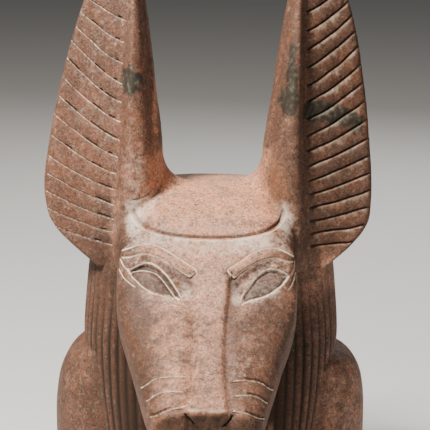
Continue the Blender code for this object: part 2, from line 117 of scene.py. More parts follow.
# Top's reach and height, underside's reach and height, half-width, place of the widest, two squarenesses
HEAD_STATIONS = (
    (-0.17, 0.962, -0.16, 0.45, 0.8, 0.35, 3.0, 2.3),
    (0.0, 0.99, 0.0, 0.42, 0.9, 0.3, 3.5, 2.3),
    (0.16, 0.972, 0.06, 0.39, 0.98, 0.3, 4.2, 2.3),
    (0.28, 0.935, 0.13, 0.375, 1.005, 0.3, 4.6, 2.2),
    (0.375, 0.876, 0.21, 0.37, 1.01, 0.28, 4.6, 2.1),
    (0.445, 0.797, 0.3, 0.37, 1.01, 0.24, 4.0, 1.9),
    (0.535, 0.729, 0.39, 0.37, 0.975, 0.22, 3.4, 1.8),
    (0.635, 0.678, 0.5, 0.37, 0.87, 0.26, 3.0, 1.9),
    (0.74, 0.632, 0.62, 0.37, 0.785, 0.33, 2.8, 2.0),
    (0.85, 0.58, 0.77, 0.37, 0.69, 0.4, 2.7, 2.2),
    (0.935, 0.542, 0.89, 0.375, 0.62, 0.46, 2.7, 2.3),
    (0.985, 0.518, 0.965, 0.385, 0.53, 0.5, 2.7, 2.4),
)
# Level above the crown as a share of EAR_HEIGHT, then the value there
EAR_OUTER = (
    (-0.319, 0.673), (-0.289, 0.738), (-0.232, 0.862), (-0.181, 0.943), (-0.133, 0.984), (-0.037, 1.0),
    (0.164, 0.97), (0.455, 0.884), (0.634, 0.802), (0.843, 0.679), (0.958, 0.598), (1.0, 0.553),
)
EAR_INNER = (
    (-0.4, 0.296), (0.096, 0.307), (0.288, 0.348), (0.509, 0.395), (0.635, 0.43), (0.813, 0.482),
    (0.95, 0.528), (1.0, 0.548),
)
EAR_BOUNDARY = (
    (-0.32, 0.592), (0.026, 0.561), (0.116, 0.548), (0.474, 0.533), (0.65, 0.522), (0.85, 0.538),
    (1.0, 0.551),
)
EAR_UNEVEN = ((-0.25, 0.0), (-0.03, 1.0), (0.35, 0.5), (0.65, 0.0), (1.0, 0.0))
EAR_SLIMMING = ((-0.4, 1.4), (0.0, 1.35), (0.12, 1.12), (0.3, 0.95), (0.6, 0.75), (1.0, 0.25))
EAR_SET = ((-0.4, -0.152), (-0.25, -0.181), (-0.05, -0.181), (0.3, -0.1345), (1.0, -0.0175))
GROOVE_SLOPES = {
    -1: (
        (-0.23, 0.279), (-0.05, 0.419), (0.12, 0.639), (0.33, 0.799), (0.45, 0.699), (0.6, 0.539),
        (0.95, 0.519),
    ),
    1: (
        (-0.23, 0.039), (-0.08, 0.269), (0.1, 0.459), (0.35, 0.719), (0.45, 0.749), (0.6, 0.619),
        (0.95, 0.519),
    ),
}
GROOVE_STEPS = {-1: (-0.229, 0.047, 0.00238), 1: (-0.224, 0.044, 0.00162)}  # first level, step, growth

# Lines of the face in front view, as shares of half of HEAD_WIDTH and of CROWN_HEIGHT. Where the sides
# differ, -1 is the left of the picture and 1 the right
BROW = {
    -1: (
        (0.95, 0.835), (0.86, 0.845), (0.77, 0.854), (0.69, 0.857), (0.58, 0.8525), (0.46, 0.8395),
        (0.35, 0.824), (0.23, 0.807), (0.175, 0.799), (0.161, 0.7955), (0.168, 0.791), (0.205, 0.7825),
        (0.216, 0.7805), (0.235, 0.7815), (0.35, 0.797), (0.45, 0.812), (0.56, 0.826), (0.67, 0.834),
        (0.76, 0.833), (0.86, 0.824), (0.95, 0.819),
    ),
    1: (
        (0.95, 0.832), (0.86, 0.845), (0.77, 0.854), (0.69, 0.857), (0.58, 0.854), (0.46, 0.843),
        (0.35, 0.8265), (0.23, 0.811), (0.205, 0.807), (0.194, 0.8045), (0.198, 0.801), (0.25, 0.789),
        (0.264, 0.7865), (0.28, 0.7868), (0.35, 0.7995), (0.45, 0.812), (0.56, 0.8235), (0.67, 0.831),
        (0.76, 0.8315), (0.86, 0.824), (0.95, 0.819),
    ),
}
BROW_TOPS = 9  # points of a brow's upper edge
OUTER_CORNER = 2  # points of an upper lid's line beyond the eye
UPPER_LID = {
    -1: (
        (0.97, 0.813), (0.93, 0.799), (0.885, 0.7925), (0.82, 0.7995), (0.77, 0.8065), (0.705, 0.8105),
        (0.64, 0.809), (0.576, 0.8028), (0.52, 0.7932), (0.473, 0.7827), (0.424, 0.7692), (0.385, 0.7567),
        (0.345, 0.7433), (0.315, 0.7318),
    ),
    1: (
        (0.975, 0.818), (0.955, 0.8), (0.9, 0.7895), (0.841, 0.7965), (0.78, 0.803), (0.707, 0.806),
        (0.643, 0.804), (0.583, 0.7975), (0.522, 0.788), (0.461, 0.7725), (0.4, 0.757), (0.355, 0.741),
    ),
}
LOWER_LID = {
    -1: (
        (0.885, 0.7905), (0.87, 0.787), (0.835, 0.7755), (0.794, 0.7687), (0.744, 0.7585), (0.683, 0.75),
        (0.602, 0.742), (0.531, 0.7385), (0.45, 0.7355), (0.38, 0.7315), (0.31, 0.7245),
    ),
    1: (
        (0.895, 0.785), (0.83, 0.768), (0.75, 0.756), (0.68, 0.748), (0.61, 0.742), (0.53, 0.738),
        (0.44, 0.7335), (0.4, 0.7305), (0.366, 0.7255),
    ),
}
COSMETIC_LINE = {
    -1: ((0.98, 0.788), (0.93, 0.772), (0.87, 0.762), (0.805, 0.7535)),
    1: ((0.98, 0.79), (0.955, 0.775), (0.925, 0.763), (0.888, 0.7545)),
}
INNER_LID = (
    (0.855, 0.787), (0.8, 0.7895), (0.734, 0.7925), (0.653, 0.7905), (0.582, 0.7855), (0.521, 0.7735),
    (0.471, 0.76), (0.42, 0.746), (0.375, 0.733), (0.335, 0.7265),
)
WHISKERS = (
    ((0.705, 0.54), (0.56, 0.568), (0.39, 0.578), (0.22, 0.579)),
    ((0.64, 0.52), (0.54, 0.54), (0.41, 0.55), (0.24, 0.552)),
    ((0.6, 0.49), (0.39, 0.517), (0.24, 0.524)),
)
SOCKET = ((0.31, 0.77), (0.38, 0.782), (0.47, 0.796), (0.58, 0.81), (0.7, 0.818))
BRIDGE_EDGE = {
    -1: ((0.19, 0.785), (0.18, 0.73), (0.178, 0.67), (0.178, 0.613), (0.19, 0.557), (0.225, 0.526)),
    1: (
        (0.238, 0.782), (0.222, 0.745), (0.195, 0.7), (0.178, 0.65), (0.182, 0.6), (0.198, 0.557),
        (0.228, 0.526),
    ),
}
BRIDGE_RUB = ((0.214, 0.78), (0.203, 0.762), (0.194, 0.742), (0.18, 0.718))
NOSTRIL = ((0.25, 0.512), (0.215, 0.498), (0.15, 0.482))
LIP_CLEFT = ((0.0, 0.474), (0.0, 0.45), (0.0, 0.42))
SCRATCH = ((-0.252, 0.565), (-0.205, 0.572), (-0.158, 0.58))
BROW_LINK = ((-0.187, 0.787), (-0.03, 0.788), (0.122, 0.79))
# In front view, in metres
RIM_LINE = ((-0.1118, 0.6372), (-0.104, 0.638), (-0.0967, 0.6406))
FOOT_CREASE = ((-0.0964, 0.4253), (-0.0856, 0.4275), (-0.078, 0.4305), (-0.0728, 0.4345))
# In side view, as shares of NOSE_REACH and of CROWN_HEIGHT
MOUTH = ((0.93, 0.425), (0.85, 0.418), (0.75, 0.422), (0.65, 0.436), (0.58, 0.455))

# Stains, worn places, painted shade and painted light in front view: x, z, half-width and half-height in
# metres, and strength
PATINA_SPOTS = (
    (0.1282, 0.5298, 0.021, 0.013, 1.0),
    (0.1489, 0.525, 0.02, 0.013, 1.0),
    (0.1671, 0.518, 0.018, 0.011, 0.9),
    (0.1767, 0.5118, 0.01, 0.012, 0.8),
    (0.159, 0.4909, 0.005, 0.005, 0.8),
    (0.097, 0.6024, 0.006, 0.014, 0.7),
    (0.0955, 0.57, 0.008, 0.024, 0.8),
    (0.093, 0.545, 0.012, 0.018, 1.0),
    (-0.098, 0.568, 0.016, 0.02, 0.75),
    (0.1099, 0.246, 0.012, 0.03, 0.5),
)
PALE_SPOTS = (
    (-0.0904, 0.44, 0.014, 0.03, 0.5),
    (-0.118, 0.385, 0.008, 0.05, 0.4),
    # Painted light on the strip behind the left ear's rim, which the rim shades
    (-0.07, 0.52, 0.004, 0.045, 0.75),
)
FILM_SPOTS = (
    (-0.03, 0.33, 0.006, 0.009, 0.58),
    (-0.042, 0.324, 0.012, 0.003, 0.6),
    (-0.062, 0.33, 0.018, 0.004, 0.4),
    (0.03, 0.323, 0.006, 0.008, 0.62),
    (0.045, 0.323, 0.014, 0.003, 0.6),
    (0.066, 0.33, 0.02, 0.005, 0.5),
    (-0.093, 0.406, 0.012, 0.022, 0.7),
    (0.09, 0.405, 0.01, 0.018, 0.6),
    (0.05, 0.382, 0.03, 0.012, 0.6),
    (-0.056, 0.385, 0.026, 0.01, 0.44),
    (-0.078, 0.423, 0.012, 0.014, 0.5),
    (-0.0904, 0.456, 0.012, 0.026, 0.24),
    (0.032, 0.265, 0.012, 0.012, 0.25),
)
# Painted soft shade on the right cheek, by the eyes and along the bridge, mostly its right edge
SOFT_SHADE_PATCHES = (
    (0.048, 0.306, 0.022, 0.016, 0.2),
    (0.075, 0.295, 0.022, 0.04, 0.25),
    (-0.032, 0.342, 0.01, 0.01, 0.45),
    (0.028, 0.336, 0.009, 0.016, 0.6),
    (0.05, 0.352, 0.024, 0.006, 0.42),
    (-0.05, 0.352, 0.02, 0.006, 0.32),
    (0.0275, 0.32, 0.008, 0.024, 0.5),
    (0.0262, 0.27, 0.011, 0.038, 0.42),
    (0.003, 0.293, 0.008, 0.009, 0.25),
    (0.008, 0.249, 0.009, 0.009, 0.22),
)
# Painted shade under and beside the muzzle, on the right ear, its rim and foot, and on the left ear's rim
SHADE_SPOTS = (
    (-0.04, 0.211, 0.026, 0.012, 0.85),
    (0.042, 0.208, 0.02, 0.012, 0.75),
    (-0.092, 0.295, 0.022, 0.046, 0.42),
    (-0.076, 0.25, 0.022, 0.034, 0.44),
    (0.15, 0.56, 0.05, 0.16, 0.44),
    (0.088, 0.56, 0.02, 0.12, 0.36),
    (0.086, 0.45, 0.022, 0.04, 0.75),
    (-0.053, 0.22, 0.016, 0.014, 0.5),
    (-0.1, 0.52, 0.012, 0.08, 0.12),
)
RED_SPOTS = ((0.0215, 0.35, 0.0036, 0.004, 0.8),)

# Strength of the stains and of the painted shade on the eyes, the lids and the brows
EYE_FILM = {-1: 0.2, 1: 0.33}
LID_FILM = {-1: 0.2, 1: 0.26}
BROW_FILM = 0.3
# Painted shade in the eyes
EYE_SHADE = {-1: 0.45, 1: 0.6}
# Little paleness left in the eyes: painted shade in their recess, and greyer stone
EYE_PALENESS_IN_SHADE = 0.1
# Less paleness on the lids below the brows: painted shade
LID_PALENESS_IN_SHADE = 0.4
# Painted shade on the left eye's ledge
LEDGE_SHADE = 0.34
# A painted highlight on the lip below a line: its middle and half its width, as shares of the line's reach
HIGHLIGHT_PLACE, HIGHLIGHT_WIDTH = 0.85, 0.34

# Relief of the face in metres
FACE_FRONT = -0.085  # the face's lines and stains lie before this Y
BROW_RISE, BROW_ROUNDING = 0.0019, 0.006
EYE_DEPTH = {-1: 0.0046, 1: 0.0034}
UPPER_SLOPE, LOWER_SLOPE = 0.0036, 0.005
BALL_RISE = {-1: 0.0044, 1: 0.0036}
BALL_ROUNDING = 0.0075
LID_WIDTH = 0.0026
# Hollows by the inner corner of the eye: two shares for the place, then radius and depth
EYE_HOLLOWS = ((0.285, 0.745, 0.0105, 0.0056), (0.4, 0.785, 0.009, 0.0024))
SOCKET_DEPTH, SOCKET_WIDTH = 0.003, 0.0042
CREASE_DEPTH = {-1: 0.0036, 1: 0.0032}
CREASE_DEEPER = {-1: 0.0, 1: 0.0012}  # beside the eye
CHEEK_CREASE, BRIDGE_CREASE = 0.009, 0.004  # the crease's width on each side of the bridge's edge

# The broken front of the nose, in metres
NOSE_CENTRE = -0.003
NOSE_SIDES = (0.024, 0.034)
NOSE_EDGE = 0.23
NOSE_LOSS, NOSE_ROUGHNESS = 0.0016, 0.0013
CHIP_SIZES = (0.006, 0.02)
ROUGH_SIZES = (0.007, 0.016)
HAND_CARVING, HAND_SIZES = 0.00022, (0.03, 0.08)

# Grooves of the ears and locks of the wig
GROOVE_INSET, GROOVE_WOBBLE = 0.0034, 0.0006
BOUNDARY_INSET = 0.0012
# Widths above and below, depth, dust, painted shade in the groove and painted highlight on its lower lip
GROOVE_CUT = {-1: (0.0012, 0.0018, 0.0017, 0.72, 0.0), 1: (0.0012, 0.0028, 0.0032, 0.0, 0.62, 0.4)}
# Dark dashes of painted shade above a groove, cut as chips: where they start at the earliest and at the
# latest, and their chance
SHADED_DASHES = {-1: ((0.02, 0.16, 0.55), (0.02, 0.3, 0.45), (0.45, 0.85, 0.3)), 1: ()}
DASH_LENGTHS = (0.08, 0.22)
DASH_OFFSET = 0.0018
INNER_LID_OFFSET = 0.001
WHISKER_SHADE_OFFSET = 0.0024
LOCK_DEPTHS = (0.75, 1.15)
LOCK_ROUNDNESS = 1.5
GROOVES_FADE = ((0.52, 0.76), (1.0, 0.3))  # heights, and what is left of STRAND_DEPTH there

# Colours of the stone: place in the pattern, then red, green and blue
PLAIN_STONE = (
    (0.0, (0.08, 0.044, 0.031)),
    (0.12, (0.115, 0.056, 0.036)),
    (0.35, (0.15, 0.068, 0.041)),
    (0.6, (0.17, 0.078, 0.047)),
    (0.8, (0.185, 0.093, 0.06)),
    (0.92, (0.14, 0.092, 0.07)),
    (1.0, (0.225, 0.145, 0.102)),
)
WORN_STONE = (
    (0.0, (0.22, 0.13, 0.097)),
    (0.12, (0.35, 0.182, 0.12)),
    (0.35, (0.5, 0.245, 0.155)),
    (0.6, (0.58, 0.292, 0.19)),
    (0.8, (0.6, 0.342, 0.235)),
    (0.92, (0.445, 0.3, 0.238)),
    (1.0, (0.765, 0.505, 0.365)),
)
CAST = ((0.3, (1.1, 1.0, 0.92)), (0.5, (1.0, 1.0, 1.0)), (0.7, (0.84, 0.86, 0.88)))
MOTTLE = ((0.32, (0.8, 0.84, 0.88)), (0.52, (1.0, 1.0, 1.0)), (0.7, (1.14, 1.04, 0.98)))
CLOUDS = ((0.3, (0.72, 0.72, 0.74)), (0.5, (1.0, 1.0, 1.0)), (0.7, (1.22, 1.2, 1.18)))
BLOTCHES = ((0.32, (0.74, 0.8, 0.86)), (0.5, (1.0, 1.0, 1.0)), (0.68, (1.18, 1.02, 0.94)))
PATINA = ((0.35, (0.018, 0.02, 0.016)), (0.55, (0.04, 0.043, 0.032)), (0.72, (0.13, 0.13, 0.09)))
CROWN_TINT = (1.05, 0.98, 0.87)
STREAK = (0.07, 0.038, 0.021)
LIGHT_SPECK, DARK_SPECK = (0.42, 0.31, 0.235), (0.06, 0.045, 0.04)
FILM = (0.84, 0.69, 0.57)
# The first is the dark of painted shade and of the dirty nose, the second a softer painted shade
SHADE_AND_DIRT_COLOUR, SOFT_SHADE_COLOUR = (0.028, 0.014, 0.007), (0.048, 0.032, 0.026)
# The second colour is painted shade in grooves and creases
DUST, CREASE_SHADE_COLOUR = (0.9, 0.75, 0.56), (0.026, 0.018, 0.014)

# Fineness of the mesh
ROWS, SIDES = 50, 160
WIG_ROWS, POINTS_PER_LOCK = 32, 8
HEAD_ROWS, HEAD_SOFTENING = 110, 24
VOXEL = 0.0022
SMOOTHING = 4
REFINED = ((0.0045, 0.0070), (0.0032, 0.0040))  # round lines and round broader forms, in two passes
# A triangle's parts when none, one, two or three of its edges are halved: corners 0 to 2, middles 3 to 5
SPLITS = (
    ((0, 1, 2),),
    ((0, 3, 2), (3, 1, 2)),
    ((0, 3, 2), (3, 4, 2), (3, 1, 4)),
    ((0, 3, 5), (3, 1, 4), (5, 4, 2), (3, 4, 5)),
)
STONE_TRIANGLES = 165000  # without the wig
LOCK_MATCH = 0.0001  # nearer than this, a point of the finished mesh is one of the wig's loft
LEAST_KEPT_DUST = 0.3  # less dusty lines may lose points when the mesh is thinned out
KEPT_REACH, KEPT_LID_REACH = 0.0014, 0.0036

CARVING_SEED, EDGE_SEED = 7, 3
WAVES = 24

# An incised line: its front view, its widths above and below and its depth in metres, then its dust,
# its painted shade and the painted highlight on its lower lip as shares
Cut = namedtuple("Cut", "line above below depth dust dirt lip", defaults=(0.0,))


def smooth(points):
    """A curve through the points that never overshoots them, as a function of their first value."""
    xs, ys = (np.array(column, float) for column in zip(*points))
    steps = np.diff(xs)
    slopes = np.diff(ys) / steps
    tangents = np.zeros(len(xs))
    for i in range(1, len(xs) - 1):
        before, after = slopes[i - 1], slopes[i]
        if before * after > 0:
            weight = (steps[i - 1] + 2 * steps[i]) / (3 * (steps[i - 1] + steps[i]))
            tangents[i] = before * after / (weight * after + (1 - weight) * before)
    tangents[0], tangents[-1] = slopes[0], slopes[-1]

    def at(x):
        x = np.clip(x, xs[0], xs[-1])
        i = np.minimum(np.searchsorted(xs, x, side="right") - 1, len(xs) - 2)
        t = (x - xs[i]) / steps[i]
        bend = (tangents[i] - slopes[i]) * (1 - t) + (slopes[i] - tangents[i + 1]) * t
        return ys[i] + (ys[i + 1] - ys[i]) * t + bend * steps[i] * t * (1 - t)

    return at


def spline(points, per_span, closed=False):
    """Points along a centripetal Catmull-Rom curve through the given ones."""
    points = np.array(points, float)
    if closed:
        padded = np.vstack([points[-1:], points, points[:2]])
    else:
        padded = np.vstack([2 * points[0] - points[1], points, 2 * points[-1] - points[-2]])
    made = []
    for a, b, c, d in zip(padded, padded[1:], padded[2:], padded[3:]):
        ab, bc, cd = (max(np.linalg.norm(q - p), 1e-9) ** 0.5 for p, q in ((a, b), (b, c), (c, d)))
        for t in np.arange(per_span) / per_span * bc:
            first = (a * -t + b * (ab + t)) / ab
            second = (b * (bc - t) + c * t) / bc
            third = (c * (bc + cd - t) + d * (t - bc)) / cd
            left = (first * (bc - t) + second * (ab + t)) / (ab + bc)
            right = (second * (bc + cd - t) + third * t) / (bc + cd)
            made.append((left * (bc - t) + right * t) / bc)
    if not closed:
        made.append(points[-1])
    return np.array(made)


def superellipse(angle, squareness):
    """Points of a superellipse with half-axes of 1."""
    c, s = np.cos(angle), np.sin(angle)
    return np.copysign(np.abs(c) ** (2 / squareness), c), np.copysign(np.abs(s) ** (2 / squareness), s)


def evenly(outline, count):
    """The closed outline again, as this many points at equal steps along it."""
    closed = np.vstack([outline, outline[:1]])
    along = np.concatenate([[0], np.cumsum(np.linalg.norm(np.diff(closed, axis=0), axis=1))])
    wanted = np.linspace(0, along[-1], count, endpoint=False)
    return np.stack([np.interp(wanted, along, closed[:, k]) for k in range(closed.shape[1])], axis=1)


def turns(count):
    return np.arange(count) * 2 * math.pi / count


def between(stations, rows, soft=0):
    """The table again with this many rows, each column smoothly drawn out and softened this many times."""
    order = np.arange(len(stations), dtype=float)
    wanted = np.linspace(0, len(stations) - 1, rows)
    table = np.stack([smooth(list(zip(order, column)))(wanted) for column in zip(*stations)], axis=1)
    for _ in range(soft):
        table[1:-1] = table[1:-1] / 2 + (table[:-2] + table[2:]) / 4
    return table


def flat_section(height, half_width, front, back, squareness, sides):
    """A horizontal section: a rounded outline from its front to its back, each with its squareness."""
    angle = turns(4 * sides)
    x, y = superellipse(angle, np.where(np.sin(angle) < 0, squareness[0], squareness[1]))
    outline = np.stack([half_width * x, (front + back) / 2 + (back - front) / 2 * y], axis=1)
    ring = evenly(outline, sides)
    return np.column_stack([ring, np.full(sides, height)])


def loft(rings):
    """Points and triangles of a closed skin over the rings, with a fan on each end."""
    rings = np.array(rings)
    levels, count = rings.shape[:2]
    points = np.vstack([rings.reshape(-1, 3), rings[0].mean(axis=0), rings[-1].mean(axis=0)])
    a = np.arange((levels - 1) * count)
    b = a - a % count + (a + 1) % count
    around, after, top = a[:count], b[:count], (levels - 1) * count
    first, last = np.full(count, levels * count), np.full(count, levels * count + 1)
    triangles = np.vstack(
        [
            np.stack([a, b, b + count], axis=1),
            np.stack([a, b + count, a + count], axis=1),
            np.stack([after, around, first], axis=1),
            np.stack([top + around, top + after, last], axis=1),
        ]
    )
    corners = points[triangles]
    if np.einsum("ij,ij->i", corners[:, 0], np.cross(corners[:, 1], corners[:, 2])).sum() < 0:
        triangles = triangles[:, ::-1]
    return points, triangles


def join(skins):
    """Several skins as one pair of points and triangles."""
    starts = np.cumsum([0, *(len(points) for points, _ in skins)])
    triangles = [faces + start for (_, faces), start in zip(skins, starts)]
    return np.vstack([points for points, _ in skins]), np.vstack(triangles)


def mesh_object(name, points, triangles):
    mesh = bpy.data.meshes.new(name)
    mesh.from_pydata(points.tolist(), [], triangles.tolist(), shade_flat=False)
    piece = bpy.data.objects.new(name, mesh)
    bpy.context.scene.collection.objects.link(piece)
    return piece


def arrays_of(mesh):
    """Points and triangles of a mesh."""
    points = np.empty(3 * len(mesh.vertices), np.float32)
    mesh.vertices.foreach_get("co", points)
    mesh.calc_loop_triangles()
    triangles = np.empty(3 * len(mesh.loop_triangles), np.int32)
    mesh.loop_triangles.foreach_get("vertices", triangles)
    return points.reshape(-1, 3).astype(float), triangles.reshape(-1, 3)


def settled(piece):
    """Points and triangles of the piece as its modifiers leave it. The piece is then removed."""
    bpy.context.view_layer.update()
    mesh = piece.evaluated_get(bpy.context.evaluated_depsgraph_get()).to_mesh()
    found = arrays_of(mesh)
    others = [modifier.object for modifier in piece.modifiers if modifier.type == "BOOLEAN"]
    for old in [piece, *others]:
        bpy.data.objects.remove(old)
    return found


def combined(first, second, operation):
    """The Boolean of two skins."""
    piece, other = mesh_object("first", *first), mesh_object("second", *second)
    modifier = piece.modifiers.new("combine", "BOOLEAN")
    modifier.operation, modifier.solver, modifier.object = operation, "MANIFOLD", other
    return settled(piece)


def torso():
    rings = []
    for height, half, depth, drop in between(TORSO_STATIONS, ROWS):
        half_width = half * SHOULDER_WIDTH / 2
        front = -CHEST_FRONT * depth * CHEST_DEPTH
        back = (1 - CHEST_FRONT) * depth * CHEST_DEPTH
        ring = flat_section(height * CROWN_HEIGHT, half_width, front, back, (2.6, 2.6), SIDES)
        ring[:, 2] -= drop * SHOULDER_DROP * np.maximum(ring[:, 0] / half_width, 0)
        rings.append(ring)
    return loft(rings)


def cap():
    rings = []
    for height, half, front, back in between(CAP_STATIONS, ROWS):
        ends = (front * WIG_DEPTH, back * WIG_DEPTH)
        rings.append(flat_section(height * CROWN_HEIGHT, half * WIG_WIDTH / 2, *ends, (3.2, 2.4), SIDES))
    return loft(rings)


def wig(rng):
    """The wig with the hollow between its lappets, its loft's points, and how deep in a groove each is."""
    count = STRAND_COUNT * POINTS_PER_LOCK
    depths = STRAND_DEPTH * rng.uniform(*LOCK_DEPTHS, STRAND_COUNT)
    place = np.arange(count) / POINTS_PER_LOCK
    groove = (np.floor(place) % STRAND_COUNT).astype(int)
    off = np.abs(place - np.floor(place) - 0.5) * 2
    share = (1 - off) ** LOCK_ROUNDNESS
    rings, grooves = [], []
    for height, half, front, back in between(WIG_STATIONS, WIG_ROWS):
        ends = (front * WIG_DEPTH, back * WIG_DEPTH)
        ring = flat_section(height * CROWN_HEIGHT, half * WIG_WIDTH / 2, *ends, (3.6, 2.5), count)
        along = np.roll(ring, -1, axis=0) - np.roll(ring, 1, axis=0)
        inward = np.stack([-along[:, 1], along[:, 0], np.zeros(count)], axis=1)
        inward /= np.linalg.norm(inward, axis=1)[:, None]
        worn = np.interp(height, *GROOVES_FADE)
        rings.append(ring + inward * (worn * depths[groove] * share)[:, None])
        grooves.append(worn * share * depths[groove] / STRAND_DEPTH)
    chest, front = -0.95 * CHEST_FRONT * CHEST_DEPTH, -WIG_DEPTH
    gap = []
    for height, half in ((THROAT_BOTTOM, 0.35 * THROAT_GAP), (THROAT_TOP, 0.5 * THROAT_GAP)):
        z = height * CROWN_HEIGHT
        gap.append([(-half, front, z), (half, front, z), (1.1 * half, chest, z), (-1.1 * half, chest, z)])
    locks = loft(rings)
    return combined(locks, loft(gap), "DIFFERENCE"), locks[0], np.concatenate([*grooves, [0.0, 0.0]])


def head():
    rings = []
    angle = turns(4 * SIDES)
    for row in between(HEAD_STATIONS, HEAD_ROWS, HEAD_SOFTENING):
        top_reach, top_height, under_reach, under_height, half, widest, over, below = row
        x, y = superellipse(angle, np.where(np.sin(angle) > 0, over, below))
        down = np.where(y > 0, widest * (1 - y), widest - (1 - widest) * y)
        reach = top_reach + (under_reach - top_reach) * down
        height = top_height + (under_height - top_height) * down
        across = x * half * HEAD_WIDTH / 2 - np.abs(x) * FACE_UNEVENNESS
        ring = np.stack([across, -reach * NOSE_REACH, height * CROWN_HEIGHT], axis=1)
        rings.append(evenly(ring, SIDES))
    return loft(rings)


def ear_line(table, level, side):
    """The half-width of one of an ear's upright lines at this level."""
    uneven = smooth(EAR_UNEVEN)(level) if table is EAR_OUTER else 0.0
    return smooth(table)(level) * EAR_SPAN / 2 - side * uneven * EAR_UNEVENNESS


def ear(side):
    rings = []
    for level in np.concatenate([np.linspace(-0.315, 0.12, 40, endpoint=False), np.linspace(0.12, 1.0, 45)]):
        outer = ear_line(EAR_OUTER, level, side)
        inner = ear_line(EAR_INNER, level, side)
        edge = ear_line(EAR_BOUNDARY, level, side)
        height = CROWN_HEIGHT + level * EAR_HEIGHT
        foot_top = CROWN_HEIGHT - EAR_FOOT_DROP + EAR_FOOT_FILLET
        drop = min(max((foot_top - height) / EAR_FOOT_FILLET, 0), 1)
        spread = EAR_FOOT_SPREAD * (1 - math.sqrt(1 - drop * drop))
        rim = edge - inner
        thickness = smooth(EAR_SLIMMING)(level) * EAR_THICKNESS
        relief = RIM_RELIEF * min(1.0, rim / (0.15 * EAR_SPAN / 2))
        leaf = smooth(EAR_SET)(level) * EAR_HEIGHT
        crest = leaf - relief
        strip = leaf + 0.30 * min(thickness, EAR_THICKNESS)
        back = leaf + thickness
        leaf_width = outer - edge
        slant = LEAF_SLANT * leaf_width
        corners = (
            (outer, leaf + slant + 0.10 * thickness),
            (outer - 0.03 * leaf_width, leaf + 0.97 * slant - 0.04 * thickness),
            (outer - 0.30 * leaf_width, leaf + 0.70 * slant + 0.02 * thickness),
            (outer - 0.65 * leaf_width, leaf + 0.35 * slant + 0.05 * thickness),
            (edge + 0.05 * leaf_width, leaf + 0.05 * slant + 0.04 * thickness),
            (edge - 0.10 * rim, leaf - 0.7 * relief),
            (edge - 0.22 * rim, crest),
            (edge - 0.52 * rim, leaf - 0.8 * relief),
            (edge - 0.74 * rim, (crest + strip) / 2),
            (edge - 0.86 * rim, strip),
            (inner + 0.05 * rim, strip + 0.05 * (back - strip)),
            (inner - 0.45 * spread, strip + 0.45 * (back - strip)),
            (inner - spread, strip + 0.80 * (back - strip)),
            (inner + 0.25 * rim - 0.8 * spread, back),
            (edge, back + 0.08 * (back - leaf)),
            (outer - 0.35 * leaf_width, back),
            (outer - 0.04 * leaf_width, leaf + slant + 0.5 * (thickness - slant)),
        )
        ring = spline(corners, 6, closed=True)
        x = side * ring[:, 0] + EAR_LEAN * max(level, 0)
        rings.append(np.column_stack([x, ring[:, 1], np.full(len(ring), height)]))
    return loft(rings)


def remeshed(skin, voxel):
    """One closed skin round overlapping ones."""
    piece = mesh_object("remesh", *skin)
    modifier = piece.modifiers.new("remesh", "REMESH")
    modifier.mode, modifier.voxel_size, modifier.adaptivity = "VOXEL", voxel, 0.0
    return settled(piece)


def edges_of(triangles):
    pairs = np.sort(triangles[:, [[0, 1], [1, 2], [2, 0]]].reshape(-1, 2), axis=1).astype(np.int64)
    keys = pairs[:, 0] * (triangles.max() + 1) + pairs[:, 1]
    _, first, index = np.unique(keys, return_index=True, return_inverse=True)
    return pairs[first], index.reshape(-1, 3)


def relaxed(points, triangles):
    """The points after moving half-way to the mean of their neighbours, several times."""
    edges, _ = edges_of(triangles)
    ends, others = np.vstack([edges, edges[:, ::-1]]).T
    degree = np.bincount(ends, minlength=len(points))
    for _ in range(SMOOTHING):
        total = [np.bincount(ends, weights=points[others, k], minlength=len(points)) for k in range(3)]
        points = points + 0.5 * (np.stack(total, axis=1) / degree[:, None] - points)
    return points


def refine(points, triangles, marked):
    """Halves every edge with a marked end."""
    edges, index = edges_of(triangles)
    split = marked[edges].any(axis=1)
    fresh = np.full(len(edges), -1)
    fresh[split] = len(points) + np.arange(split.sum())
    points = np.vstack([points, points[edges[split]].mean(axis=1)])
    made = []
    for halved, turn in ((0, 0), (3, 0), (1, 0), (2, 0), (1, 1), (2, 1), (1, 2), (2, 2)):
        middles = np.roll(fresh[index], -turn, axis=1)
        fits = ((middles >= 0) == (np.arange(3) < halved)).all(axis=1)
        six = np.hstack([np.roll(triangles, -turn, axis=1), middles])[fits]
        made += [six[:, list(corners)] for corners in SPLITS[halved]]
    return points, np.vstack(made)


def normals_of(points, triangles):
    corners = points[triangles]
    faces = np.cross(corners[:, 1] - corners[:, 0], corners[:, 2] - corners[:, 0])
    total = np.zeros_like(points)
    for k in range(3):
        for axis in range(3):
            total[:, axis] += np.bincount(triangles[:, k], weights=faces[:, axis], minlength=len(points))
    return total / np.maximum(np.linalg.norm(total, axis=1), 1e-12)[:, None]


def face_point(out, height, side):
    """A point of the face in front view, from its shares."""
    drop = FACE_DROP if side > 0 else 0.0
    return side * out * HEAD_WIDTH / 2 - out * FACE_UNEVENNESS, height * CROWN_HEIGHT - drop


def drawn(shares, side, per_span, closed=False):
    """A curve of the face in front view, through the points with these shares."""
    return spline([face_point(out, height, side) for out, height in shares], per_span, closed)


def eye_outline(side):
    return UPPER_LID[side][OUTER_CORNER:] + tuple(reversed(LOWER_LID[side][:-1]))


